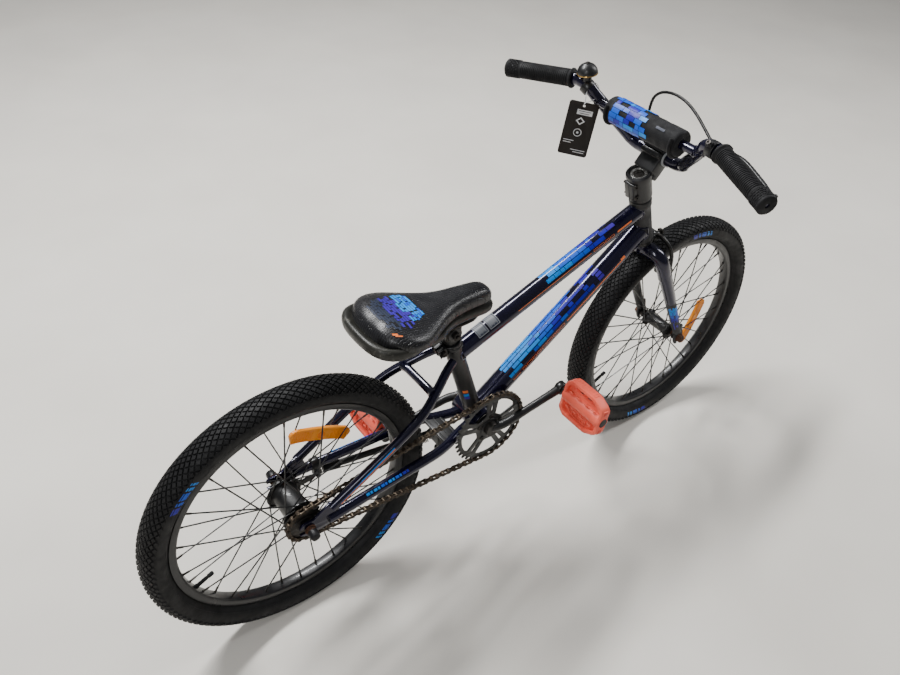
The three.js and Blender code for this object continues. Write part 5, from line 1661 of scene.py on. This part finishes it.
def fork():
    """The steerer with the crown and its shoulders, and both legs with their dropouts."""
    steerer = Piece("fork_steerer_metal")
    steerer.turned(
        STEER_FOOT, STEER_UP,
        [(0, 262), (14.3, 262), (14.3, 441), (12.5, 442), (12.0, 442), (12.0, 436), (0, 436)],
        BLACK_STEEL, 40,
    )
    steerer.turned(
        STEER_FOOT, STEER_UP,
        [(0, 256), (14, 256), (17.2, 259), (18, 264), (18, 274), (17.2, 279.4), (0, 279.4)], NAVY, 48,
    )
    for _, side in SIDES:
        route = [
            (-1, 4, 266, 15.5), (0, 20, 265.3, 15.6), (1.5, 34, 260.5, 15), (3, 43, 249, 14.2),
            (5, 46.4, 232, 13.6), (8, 47, 205, 13.2),
        ]
        steerer.tube(
            [(*steer(ahead, side * out, up), radius) for ahead, out, up, radius in route], 14, NAVY,
            sides=32,
        )
    bolt = steer(10, 0, CALIPER_UP)
    steerer.turned(
        bolt, STEER_FORWARD, [(0, 0), (3.1, 0), (3.1, 36), (6.8, 36), (7.2, 37), (6.4, 40), (0, 41)],
        BOLT_STEEL, 28,
    )
    steerer.hexagon(steer(46, 0, CALIPER_UP), STEER_FORWARD, 10.5, 5, BOLT_STEEL)
    steerer.finish("steering", "gloss_frame_paint", "fork_steerer")

    for name, side in SIDES:
        blade = Piece(f"fork_blade_{name}_paint")
        top = steer(8, side * 47, 213)
        foot = steer(33, side * 52.2, 20)
        run = (foot - top).normalized()
        blade.tube(
            [(*top, leg_radius(0)), (*foot, leg_radius(LEG_LENGTH))], LEG_TOP_RADIUS, GREY_MATTE, sides=40
        )
        blade.turned(foot - run * 2, run, [(8.2, 0), (8.0, 3), (6.4, 6), (0, 7.4)], GREY_MATTE, 32)
        glossy = [(leg_radius(along) + 0.12, along) for along in range(-1, 90, 6)]
        blade.turned(top, run, [(LEG_TOP_RADIUS - 0.2, -1)] + glossy, NAVY, 48)
        leg_print(blade, top, run, side)
        outline = [
            (-11, -13), (-13, -4), (-13, 6), (-9, 14), (0, 28), (6, 34), (14, 30), (13, 14),
            (13, -4), (10, -12), (5.4, -15), (5.4, 0), (3.8, 4), (0, 5.4), (-3.8, 4), (-5.4, 0), (-5.4, -15),
        ]
        plate_origin = FRONT_AXLE + V(0, side * 52.5, 0)
        blade.plate(outline, 4.8, plate_origin, STEER_FORWARD, STEER_UP, GREY_MATTE, bevel=0.8)
        blade.finish("steering", "matte_grey_paint", f"fork_blade_{name}")


def leg_radius(along):
    return LEG_TOP_RADIUS - LEG_TAPER * along


def leg_print(piece, start, run, side):
    """Brick print round the lower leg's front, outside and back, cyan at the top and fading out below."""
    chance = random.Random(31)
    for row in range(11):
        turn = -side * 0.27 * row
        along = 98 + chance.uniform(0, 8)
        while along < 168:
            size = chance.choice((6, 9, 13))
            share = (along - 98) / 70
            shade = FADE[min(3, int(share * 3.6 + chance.uniform(0, 0.4)))]
            if chance.random() > share * 0.9 - 0.3:
                leg_patch(piece, start, run, (along, along + size), (turn, turn - side * 0.25), shade)
            along += size + 0.8


def leg_patch(piece, start, run, span, turns, ink):
    """A printed patch on the fork leg, with its angles measured from straight forward."""
    front = (STEER_FORWARD - STEER_FORWARD.dot(run) * run).normalized()
    left = run.cross(front)
    rings = []
    for along in span:
        ring = []
        for k in range(3):
            turn = turns[0] + (turns[1] - turns[0]) * k / 2
            radius = leg_radius(along) + LEG_PRINT_LIFT
            ring.append(start + along * run + radius * blend(front, left, turn))
        rings.append(ring)
    piece.grid(rings, ink, wrap=False)


def stem():
    """The stem with its clamp and reach, and the faceplate over the bar."""
    body = Piece("stem_metal")
    low, high = STEM_BOTTOM, STEM_TOP
    body.turned(
        STEER_FOOT, STEER_UP,
        [
            (14.7, low), (19.6, low), (21.2, low + 1.6), (21.6, high - 16), (23.2, high - 6),
            (22.6, high - 1.8), (20.4, high), (17.6, high + 0.2), (16.2, high - 1), (15.4, high - 7),
            (14.7, high - 8),
        ],
        SATIN, 64, closed=True,
    )
    body.turned(
        STEER_FOOT, STEER_UP,
        [
            (0, high - 7), (15, high - 7), (15, high - 3.2), (13.8, high - 2.4), (10.4, high - 3.8),
            (10, high - 5.4), (0, high - 5.4),
        ],
        BRIGHT_STEEL, 48,
    )
    body.turned(
        STEER_FOOT, STEER_UP,
        [
            (0, high - 6), (9.6, high - 6), (9.4, high - 4.4), (4.6, high - 4), (4.2, high - 5.2),
            (0, high - 5.2),
        ],
        BOLT_STEEL, 40,
    )
    body.block(steer(-19.5, 0, 420), (12, 24, 36), SATIN, STEER_FORWARD, STEER_UP, bevel=3.2, rounds=3)
    # painted shade: a thin black strip down the back of the clamp stands for its shaded slit
    body.block(steer(-25.4, 0, 420), (0.8, 2.2, 33), PLASTIC_BLACK, STEER_FORWARD, STEER_UP, bevel=0)
    for up in (409, 433):
        body.rod(steer(-20.5, 14.4, up), -Y_AXIS, 3, (0, 26), BOLT_STEEL, 16)
        body.turned(
            steer(-20.5, -11.4, up), -Y_AXIS,
            [(4.2, 0), (4.2, 2.4), (3.4, 3), (2.2, 3), (2.2, 1), (0, 1)], BOLT_STEEL, 24,
        )
    body.block(
        BAR_CENTRE - 17 * REACH_FORWARD, (36, 43, 29), SATIN, REACH_FORWARD, REACH_UP, bevel=3.5, rounds=3
    )
    body.block(
        BAR_CENTRE - 26 * REACH_FORWARD - 7 * REACH_UP, (30, 42, 15), SATIN, REACH_FORWARD, REACH_UP,
        bevel=3,
    )
    clamp_half = arc(17.5, 90, 7.5, 25) + arc(11.4, 270, -7.5, 25)
    body.plate(clamp_half, STEM_CLAMP_WIDTH, BAR_CENTRE, REACH_FORWARD, REACH_UP, SATIN, bevel=1.2)
    for up in (-20, 20):
        body.block(
            BAR_CENTRE + up * REACH_UP - 5 * REACH_FORWARD, (9, 40, 9), SATIN, REACH_FORWARD, REACH_UP,
            bevel=2,
        )
    body.finish("steering", "satin_black_paint", "stem", sharp=35)

    plate = Piece("stem_faceplate_metal")
    clamp_half = arc(17.4, -87, 7.25, 25) + arc(11.5, 86, -7.17, 25)
    plate.plate(clamp_half, STEM_CLAMP_WIDTH, BAR_CENTRE, REACH_FORWARD, REACH_UP, SATIN, bevel=1.2)
    for up in (-20, 20):
        plate.block(
            BAR_CENTRE + up * REACH_UP + 4.6 * REACH_FORWARD, (6.8, 42, 8.6), SATIN, REACH_FORWARD,
            REACH_UP, bevel=2,
        )
        for y in (-14, 14):
            spot = BAR_CENTRE + up * REACH_UP + 8 * REACH_FORWARD + y * Y_AXIS
            plate.turned(
                spot, REACH_FORWARD, [(4.6, 0), (4.6, 3.2), (3.8, 4), (2.4, 4), (2.4, 2), (0, 2)],
                BOLT_STEEL, 24,
            )
    plate.turned(
        BAR_CENTRE - 24.5 * Y_AXIS, Y_AXIS, [(11.3, 0), (13.4, 0), (13.8, 1), (13.8, 3), (11.3, 3)],
        PALE_GREY, 40, closed=True,
    )
    plate.finish("steering", "satin_black_paint", "stem_faceplate", sharp=35)


def bar_half(side):
    points = [
        (737, 30, 688), (737, 44, 688), (733, 60, 694), BAR_BEND_LOW, BAR_BEND_HIGH,
        (680, 129, 772), (676, 143, 778), tuple(GRIP_INNER),
        tuple(GRIP_INNER.lerp(GRIP_OUTER, 0.5)), tuple(GRIP_INNER.lerp(GRIP_OUTER, 0.985)),
    ]
    return [sided(p, side) for p in points]


def handlebar():
    """The bar with its crossbar, welds and clamping ridges, and the grips."""
    bar = Piece("handlebar_paint")
    bar.tube(list(reversed(bar_half(-1))) + [BAR_CENTRE] + bar_half(1), BAR_RADIUS, NAVY, sides=32)
    bar.tube([PAD_CENTRE - 106 * Y_AXIS, PAD_CENTRE + 106 * Y_AXIS], CROSSBAR_RADIUS, NAVY, sides=28)
    for _, side in SIDES:
        low, high = sided(BAR_BEND_LOW, side), sided(BAR_BEND_HIGH, side)
        weld(
            bar, PAD_CENTRE + side * 60 * Y_AXIS, side * Y_AXIS, CROSSBAR_RADIUS, low, high - low,
            BAR_RADIUS, NAVY, 1.4,
        )
        for k in range(5):
            spot = BAR_CENTRE + side * (24 + 2.2 * k) * Y_AXIS
            bar.turned(
                spot, Y_AXIS, [(BAR_RADIUS, -0.8), (BAR_RADIUS + 0.22, 0), (BAR_RADIUS, 0.8)], NAVY, 40
            )
    bar.finish("steering", "gloss_frame_paint", "handlebar")

    for name, side in SIDES:
        grip(name, side)


def grip(name, side):
    """A closed-end grip with an inner flange, ring ribs and a block-pattern band."""
    piece = Piece(f"grip_{name}_rubber")
    inner, outer = sided(GRIP_INNER, side), sided(GRIP_OUTER, side)
    length = (outer - inner).length
    profile = [(11.2, 0), (16.4, 0), (17.2, 1.0), (17.2, 3.4), (16.4, 4.4), (15.2, 5.2)]
    at = 8.0
    while at < length - 30:
        profile += [(13.9, at), (15.1, at + 0.7), (15.1, at + 2.1), (13.9, at + 2.8)]
        at += 3.6
    profile += [
        (14.2, length - 27), (15.1, length - 26), (15.3, length - 6), (16.2, length - 4.5),
        (16.2, length - 1.4), (14.8, length), (4, length + 0.2), (3.4, length - 2), (0, length - 2),
    ]
    piece.turned(inner, outer - inner, profile, GRIP_RUBBER, 56)
    axis = (outer - inner).normalized()
    first, second = across(axis)
    for ring in range(5):
        for k in range(18):
            turn = 2 * math.pi * (k + 0.5 * (ring % 2)) / 18
            out = blend(first, second, turn)
            spot = inner + (length - 23.5 + 3.9 * ring) * axis + 15.2 * out
            piece.block(spot, (3.0, 3.6, 1.0), GRIP_RUBBER, axis, out, bevel=0.3, rounds=1)
    piece.finish("steering", "soft_rubber", f"grip_{name}", sharp=45)


PAD_SIDES = 64
PAD_BORE_RADIUS = 8.4
STRAP_RADIUS = 24.2
PAD_PRINT_RADIUS = 23.45
PAD_INKS = ((INK_AZURE, INK_ROYAL), (INK_ROYAL, INK_AZURE, INK_CYAN), (INK_CYAN, INK_AZURE))


def round_pad(y, radius, turn):
    """A point round the crossbar pad's axis, with its angle measured from straight up."""
    return PAD_CENTRE + y * Y_AXIS + radius * blend(Z_AXIS, X_AXIS, turn)


def pad_crease(y, turn):
    """How far the sleeve stands out or in at a place, as it is a little wrinkled."""
    long_folds = 0.28 * math.sin(0.16 * y + 3 * turn) * math.sin(0.061 * y + 1.3)
    return long_folds + 0.2 * math.sin(0.33 * y - 2 * turn)


def crossbar_pad():
    """A foam tube in a printed fabric sleeve, with piping and a strap near each end."""
    pad = Piece("crossbar_pad_fabric")
    half, r = PAD_HALF_LENGTH, PAD_RADIUS
    stations = [-half, -half + 0.6, -half + 2, -half + 5]
    stations += [-half + 8 + 4.5 * k for k in range(33)]
    stations += [half - 5, half - 2, half - 0.6, half]
    rings = []
    for y in stations:
        end = min(1.0, (half - abs(y)) / 6)
        body = r - 3.2 * (1 - math.sqrt(max(0.0, 1 - (1 - end) ** 2)))
        ring = []
        for k in range(PAD_SIDES):
            turn = 2 * math.pi * k / PAD_SIDES
            ring.append(round_pad(y, body + pad_crease(y, turn) * end, turn))
        rings.append(ring)
    hole = [
        [round_pad(y, PAD_BORE_RADIUS, 2 * math.pi * k / PAD_SIDES) for k in range(PAD_SIDES)]
        for y in (half - 1, -half + 1)
    ]
    pad.grid(rings + hole, PAD_CLOTH, closed=True)
    chance = random.Random(17)
    for row in range(9):
        turn = -2.35 + 0.36 * row
        y = 68 - chance.uniform(0, 8)
        while y > -8:
            size = chance.choice((8, 12, 16, 22))
            share = (68 - y) / 76
            ink = chance.choice(PAD_INKS[min(2, int(share * 3))])
            if chance.random() > 0.12 + 0.5 * max(0, share - 0.7):
                pad_patch(pad, (y - size, y), (turn, turn + 0.33), ink)
            y -= size + 0.9
    pad_patch(pad, (-52, -34), (-0.9, -0.72), INK_SLATE)
    for edge in (-1, 1):
        band = [round_pad(edge * (half - 3.2), r - 0.9, 2 * math.pi * k / 40) for k in range(40)]
        pad.tube(band, 0.7, PAD_CLOTH, sides=8, per=3, closed=True)
    made = pad.finish("steering", "pad_fabric", "crossbar_pad", sharp=60)

    strap = Piece("crossbar_pad_strap")
    for y in (-72, 72):
        loop = [round_pad(y, STRAP_RADIUS, math.radians(120 + 10 * k)) for k in range(19)]
        strap.tube(loop, 3.0, PAD_CLOTH, sides=14, per=3)
    strap.finish("steering", "pad_fabric")


def pad_patch(piece, span, turns, ink):
    """A printed patch on the pad, which follows the sleeve's wrinkles."""
    rings = []
    for k in range(4):
        y = span[0] + (span[1] - span[0]) * k / 3
        ring = []
        for j in range(4):
            turn = turns[0] + (turns[1] - turns[0]) * j / 3
            ring.append(round_pad(y, PAD_PRINT_RADIUS + pad_crease(y, turn), turn))
        rings.append(ring)
    piece.grid(rings, ink, wrap=False)


# ------------------------------------------------------------------------------------------------
# Bell, brake and tag
# ------------------------------------------------------------------------------------------------

BELL_SEAT = V(677, 132, 774)
BELL_UP = V(-0.12, 0.06, 0.99).normalized()


def bell():
    """The bell on its clamp, and the thumb lever beside it."""
    piece = Piece("bell_metal")
    run = V(675, 138, 777) - V(679, 124, 769)
    piece.turned(
        V(679, 124, 769), run, [(11.3, 1), (13.0, 1), (13.6, 2), (13.6, 13), (13.0, 14), (11.3, 14)],
        BLACK_STEEL, 40, closed=True,
    )
    piece.rod(BELL_SEAT, BELL_UP, 7.6, (9, 22), BLACK_STEEL, 32)
    piece.turned(
        BELL_SEAT, BELL_UP,
        [
            (0, 22.5), (15, 22.5), (17.4, 23), (17.8, 24), (17.6, 27), (16.6, 30), (14.8, 33.4),
            (12, 36.4), (8, 38.8), (4, 40.2), (0, 40.6),
        ],
        SATIN, 56,
    )
    piece.turned(
        BELL_SEAT, BELL_UP, [(15, 21.8), (18.0, 21.8), (18.4, 22.6), (18.0, 23.6), (15, 23.6)], BRASS, 56,
        closed=True,
    )
    piece.turned(
        BELL_SEAT, BELL_UP, [(0, 39), (4.4, 39.9), (4.6, 40.8), (3.6, 41.6), (0, 41.8)], BOLT_STEEL, 28
    )
    piece.finish("steering", "black_alloy", "bell")

    lever = Piece("bell_lever_plastic")
    pivot = BELL_SEAT + 18.6 * BELL_UP + V(-5, 14.5, 0)
    lever.rod(pivot, BELL_UP, 3.4, (-1.4, 1.4), PLASTIC_BLACK, 24)
    lever.block(pivot + V(-3, 7, 0.6), (8, 15, 3), PLASTIC_BLACK, X_AXIS, BELL_UP, bevel=1.2)
    for k in range(3):
        lever.block(
            pivot + V(-3, 9 + 2.2 * k, 2.2), (6.4, 0.9, 0.8), PLASTIC_BLACK, X_AXIS, BELL_UP, bevel=0.25,
            rounds=1,
        )
    lever.finish("bell_lever", "black_plastic", "bell_lever")


LEVER_PIVOT = V(706, -150, 766)
LEVER_AXIS = V(0.24, 0, 0.97).normalized()


def brake_lever():
    """The bracket with its clamp and barrel adjuster, and the lever blade."""
    bracket = Piece("lever_bracket_metal")
    run = V(672, -155, 777) - V(673, -141, 777)
    bracket.turned(
        V(673, -141, 777), run, [(11.4, 0.4), (13.4, 0.4), (14, 1.2), (14, 13), (13.4, 14), (11.4, 14)],
        SATIN, 40, closed=True,
    )
    bracket.block(V(660, -148, 789), (9, 12, 8), SATIN, V(1, 0, 1), V(-1, 0, 1), bevel=2)
    bracket.turned(
        V(656, -148, 793), V(-1, 0, 1), [(3.6, -3), (3.6, 1.6), (2.0, 1.6), (2.0, 0), (0, 0)], BOLT_STEEL,
        20,
    )
    bracket.tube(
        [(673, -148, 776, 8.5), (684, -148.4, 774, 7), (697, -149.4, 769.5, 6.6)], 7, SATIN, sides=24
    )
    for way in (-1, 1):
        low = LEVER_PIVOT + way * 4.3 * LEVER_AXIS
        bracket.turned(
            low, way * LEVER_AXIS, [(0, 0), (7.6, 0), (8, 0.6), (8, 3), (7, 3.7), (0, 3.7)], SATIN, 36
        )
        bracket.tube(
            [low + way * 1.8 * LEVER_AXIS + V(-3, 1, 0), low + way * 1.4 * LEVER_AXIS + V(-14, 1.6, 1)],
            3.2, SATIN, sides=16,
        )
        bracket.turned(
            low + way * 3.7 * LEVER_AXIS, way * LEVER_AXIS,
            [(0, -1), (4, -1), (4, 1.2), (3, 1.8), (0, 1.8)], BOLT_STEEL, 24,
        )
    bracket.rod(LEVER_PIVOT - 7 * LEVER_AXIS, LEVER_AXIS, 2, (0, 14), BOLT_STEEL, 16)
    start, end = LEVER_PIVOT + V(0, 6, 0), LEVER_PIVOT + V(2, 26, 1)
    bracket.turned(
        start, end - start,
        [
            (0, -1), (4.8, -1), (4.8, 8), (4.2, 8.6), (5.4, 9.4), (5.4, 12), (4.2, 12.8), (4.0, 20),
            (0, 20),
        ],
        SATIN, 28,
    )
    for k in range(10):
        turn = 2 * math.pi * k / 10
        first, second = across(end - start)
        spot = start + (end - start).normalized() * 10.7 + 5.4 * blend(first, second, turn)
        bracket.block(spot, (2.4, 0.9, 0.9), SATIN, end - start, spot - start, bevel=0.2, rounds=1)
    bracket.finish("steering", "satin_black_paint", "lever_bracket")

    blade = Piece("brake_lever_metal")
    route = [
        (*LEVER_PIVOT, 5.0), (712, -166, 764, 4.4), (711, -184, 762.5, 4.0), (701, -210, 759.5, 3.9),
        (690, -236, 756, 3.8), (681, -256, 752.5, 3.8), (680.5, -263, 751, 4.2),
    ]
    blade.tube(route, 4, SATIN, sides=24, flat=0.62, flat_axis=LEVER_AXIS)
    blade.turned(
        LEVER_PIVOT, LEVER_AXIS, [(2.4, -3), (5.6, -3), (5.6, 3), (2.4, 3)], SATIN, 28, closed=True
    )
    blade.turned(
        V(680.5, -265, 750.8), Y_AXIS, [(0, -3.6), (3.2, -2.6), (4.3, 0), (3.2, 2.6), (0, 3.6)], SATIN, 24
    )
    blade.finish("brake_lever", "black_alloy", "brake_lever")


CABLE_ROUTE = [
    LEVER_PIVOT + V(2.2, 27, 1.1), V(712, -112, 769), V(722, -88, 777), V(734, -58, 786),
    V(743, -28, 792), V(749, 2, 792), V(752, 28, 785), V(755, 46, 770), V(759, 54, 748),
    V(763, 56, 720), V(768, 56, 690), V(773, 55, 660), V(778, 53, 630), V(783, 51, 600),
    V(788, 49, 575), steer(34, 46, 322), steer(29, 45, 306), steer(27, 45, 296),
]


def cable():
    """The housing with an end cap at each end, and the bare wire down to the caliper."""
    piece = Piece("brake_cable_housing")
    piece.tube(CABLE_ROUTE, 2.5, CABLE_BLACK, sides=20)
    for end, after in ((0, 1), (-1, -2)):
        run = CABLE_ROUTE[after] - CABLE_ROUTE[end]
        piece.turned(CABLE_ROUTE[end], run, [(0, 0), (3.1, 0), (3.2, 9), (2.6, 10.4)], BOLT_STEEL, 24)
    anchor = steer(34, CABLE_ANCHOR_OUT, 266)
    wire = [CABLE_ROUTE[-1], steer(26.5, 45.4, 288), steer(30, 45.8, 279), anchor]
    piece.tube(wire, 0.8, BRIGHT_STEEL, sides=8)
    piece.finish("steering", "cable_housing", "brake_cable")


ARM_FORWARD = {"left": 25, "right": 35}
ARM_REACH = {"left": (280, 286, 288), "right": (276, 278, 277)}


def caliper():
    """Both arms of the side-pull brake, each with its pull arm, spring and shoe."""
    for name, side in SIDES:
        forward = ARM_FORWARD[name]
        arm = Piece(f"brake_arm_{name}_metal")
        arm_route = [
            (2, 270, 5.2), (12, 271.5, 5.0), (22, 268.5, 4.8), (34, 258, 4.6), (39, 242, 4.3),
            (38, 224, 4.1), (35, 206, 4.4), (33, 196, 5.0),
        ]
        arm.tube(
            [(*steer(forward, side * y, up), r) for y, up, r in arm_route], 4.4, BLACK_STEEL, sides=24,
            flat=0.8, flat_axis=STEER_FORWARD,
        )
        reach = ARM_REACH[name]
        pull = [
            (side * 6, 271, 4.8), (20, reach[0], 4.4), (34, reach[1], 4.2),
            (CABLE_ANCHOR_OUT, reach[2], 4.6),
        ]
        arm.tube(
            [(*steer(forward, y, up), r) for y, up, r in pull], 4.4, BLACK_STEEL, sides=24, flat=0.8,
            flat_axis=STEER_FORWARD,
        )
        arm.turned(
            steer(forward - 4, 0, CALIPER_UP), STEER_FORWARD,
            [(3.6, 0), (8, 0), (8.5, 0.6), (8.5, 7.4), (8, 8), (3.6, 8)], BLACK_STEEL, 36, closed=True,
        )
        eye = steer(forward, CABLE_ANCHOR_OUT, reach[2])
        arm.turned(
            eye - 5 * STEER_UP, STEER_UP, [(0, 0), (4.6, 0), (4.6, 10), (3.4, 11), (3.4, 14), (0, 14)],
            BOLT_STEEL, 24,
        )
        spring_route = [(5, 3, 274), (5, 14, 282), (5, 30, 276), (5, 41, 258), (5, 42, 240), (4, 38, 226)]
        spring = [steer(forward - behind, side * y, up) for behind, y, up in spring_route]
        arm.tube(spring, 1.1, BOLT_STEEL, sides=10)
        arm.finish(f"brake_arm_{name}", "black_steel", f"brake_arm_{name}")

        shoe = Piece(f"brake_shoe_{name}_rubber")
        centre = steer(30, side * 20, 200.3)
        shoe.block(
            centre - side * 1.4 * Y_AXIS, (38, 7.2, 9), GRIP_RUBBER, STEER_FORWARD, STEER_UP, bevel=1.4
        )
        shoe.block(
            centre + side * 3.2 * Y_AXIS, (36, 3, 10), BOLT_STEEL, STEER_FORWARD, STEER_UP, bevel=0.8
        )
        # painted shade: thin dark steel bars across the shoe's face stand for its shaded grooves
        for k in (-1, 0, 1):
            shoe.block(
                centre - side * 4.2 * Y_AXIS + 10 * k * STEER_FORWARD, (1.4, 2, 9.4), BLACK_STEEL,
                STEER_FORWARD, STEER_UP, bevel=0,
            )
        shoe.turned(centre, side * Y_AXIS, [(3.4, 3), (3.4, 21), (0, 21)], BOLT_STEEL, 20)
        shoe.hexagon(centre + side * 17.5 * Y_AXIS, side * Y_AXIS, 10, 5, BOLT_STEEL)
        shoe.finish(f"brake_arm_{name}", "soft_rubber", f"brake_shoe_{name}")


TAG_TOP = V(664, 118, 752)
TAG_HOLE_UP = 42.5
TAG_DOWN = V(-0.12, 0.02, -0.99).normalized()


def hang_tag():
    """A card tag with plain shapes for its print, on a thin loop round the bar."""
    piece = Piece("hang_tag_card")
    rough = V(0.7, -0.71, -0.03)
    right = (rough - rough.dot(TAG_DOWN) * TAG_DOWN).normalized()
    up = -TAG_DOWN
    front = right.cross(up)
    centre = TAG_TOP + 49 * TAG_DOWN
    hole = arc(2.2, 0, -30, 12, (0, TAG_HOLE_UP))
    outline = [
        (-26, -46), (-23.5, -49), (23.5, -49), (26, -46), (26, 46), (23.5, 49), (-23.5, 49), (-26, 46),
    ]
    piece.plate(outline, 0.9, centre, right, up, TAG_BLACK, [hole], 0.15)
    for face in (-1, 1):
        level = centre + face * 0.5 * front
        flat = face * right

        def mark(x, z, wide, high, ink, lift=0.0):
            piece.block(
                level + x * flat + z * up + face * lift * front, (wide, 0.16, high), ink, flat, up,
                bevel=0,
            )

        mark(4, 31, 27, 9, TAG_WHITE)
        for k in range(2):
            mark(4, 33 - 4 * k, 22 - 5 * k, 1.1, TAG_BLACK, 0.1)
        diamond = [(0, 22), (8, 15), (0, 8), (-8, 15)]
        diamond_hole = [(0, 19.4), (-5, 15), (0, 10.6), (5, 15)]
        turned = [[(face * x, z) for x, z in loop] for loop in (diamond, diamond_hole)]
        piece.plate(turned[0], 0.16, level, right, up, TAG_WHITE, [turned[1]], 0)
        ring = level - 6 * up
        piece.turned(
            ring, face * front, [(6.0, -0.05), (6.0, 0.12), (7.2, 0.12), (7.2, -0.05)], TAG_WHITE, 40,
            closed=True,
        )
        piece.turned(ring, face * front, [(0, 0.12), (2.0, 0.12), (2.0, -0.05)], TAG_WHITE, 28)
        mark(-12, -22, 18, 1.2, TAG_WHITE)
        mark(-14, -26, 14, 1.2, TAG_WHITE)
        mark(8, -38, 26, 1.2, TAG_WHITE)
        mark(10, -42, 20, 1.2, TAG_WHITE)
    knot = centre + TAG_HOLE_UP * up
    piece.tube(
        [
            knot - 1.2 * front, knot + 6 * up - 2 * front, V(668, 122, 768), V(676, 124, 782),
            V(688, 120, 779), V(690, 114, 766), V(680, 113, 756), knot + 6 * up + 2 * front,
            knot + 1.2 * front,
        ],
        0.7, TAG_WHITE, sides=8,
    )
    piece.finish("steering", "tag_card", "hang_tag", sharp=30)


# ------------------------------------------------------------------------------------------------
# Room, light and camera
# ------------------------------------------------------------------------------------------------


def room():
    """A plain pale floor."""
    n = Nodes("floor_pale")
    n.set("Base Color", n.ramp(n.noise(3, 3), (0.66, 0.63, 0.575), (0.71, 0.68, 0.62)))
    n.set("Roughness", 0.75)
    n.set("Specular IOR Level", 0.2)
    n.set("Normal", n.bump(n.noise(300, 3), 0.04, 0.0005))
    rough = bmesh.new()
    bmesh.ops.create_grid(rough, x_segments=1, y_segments=1, size=12)
    mesh = bpy.data.meshes.new("floor")
    rough.to_mesh(mesh)
    rough.free()
    mesh.materials.append(n.material)
    floor = bpy.data.objects.new("floor", mesh)
    bpy.context.scene.collection.objects.link(floor)


def lamp(name, place, aim, size, power):
    """A rectangular lamp at a place, turned towards a point."""
    data = bpy.data.lights.new(name, "AREA")
    data.shape = "RECTANGLE"
    data.size, data.size_y = size
    data.energy = power
    made = bpy.data.objects.new(name, data)
    bpy.context.scene.collection.objects.link(made)
    made.location = place
    made.rotation_mode = "QUATERNION"
    made.rotation_quaternion = (V(*aim) - V(*place)).to_track_quat("-Z", "Y")


def lighting():
    """A dim even sky, a long narrow key lamp overhead and two side lamps."""
    world = bpy.data.worlds.new("studio")
    world.use_nodes = True
    sky = world.node_tree.nodes["Background"]
    sky.inputs["Color"].default_value = (0.93, 0.95, 1.0, 1)
    sky.inputs["Strength"].default_value = 0.22
    bpy.context.scene.world = world
    lamp("key", (-0.5, 1.7, 3.1), (0, 0, 0.4), (2.4, 0.3), 200)
    lamp("fill", (-3.2, -1.6, 2.6), (0, 0, 0.3), (0.7, 2.0), 55)
    lamp("rim_light", (2.6, -0.6, 2.4), (0, 0, 0.4), (0.6, 1.8), 60)


CAMERA_TURN = math.radians(-38.70)
CAMERA_HEIGHT = math.radians(39.47)
CAMERA_ROLL = math.radians(3.81)
CAMERA_PLACE = (-0.78648, -0.81646, 1.32994)
CAMERA_LENS = 32.95


def camera():
    """Above, behind and to the right of the bike, a little rolled."""
    back = V(
        math.sin(CAMERA_TURN) * math.cos(CAMERA_HEIGHT), -math.cos(CAMERA_TURN) * math.cos(CAMERA_HEIGHT),
        math.sin(CAMERA_HEIGHT),
    )
    right = Z_AXIS.cross(back).normalized()
    up = back.cross(right)
    rolled_right = blend(right, up, CAMERA_ROLL)
    rolled_up = math.cos(CAMERA_ROLL) * up - math.sin(CAMERA_ROLL) * right
    data = bpy.data.cameras.new("camera")
    data.lens = CAMERA_LENS
    data.sensor_width = 36
    data.clip_start = 0.02
    made = bpy.data.objects.new("camera", data)
    bpy.context.scene.collection.objects.link(made)
    turn = Matrix((rolled_right, rolled_up, back)).transposed()
    made.matrix_world = Matrix.Translation(CAMERA_PLACE) @ turn.to_4x4()
    bpy.context.scene.camera = made


wheels()
wheel_axle("front", FRONT_AXLE, 50, 66, "steering", capped=False)
wheel_axle("rear", REAR_AXLE, 55, 76, "frame", capped=True)
main_tubes()
head_and_seat_tubes()
rear_triangle()
chainring()
cog()
chain()
crank()
for side_name, side_sign in SIDES:
    pedal(side_name, side_sign)
coaster_arm()
kickstand()
seat_hardware()
saddle()
fork()
stem()
handlebar()
crossbar_pad()
bell()
brake_lever()
cable()
caliper()
hang_tag()
room()
lighting()
camera()
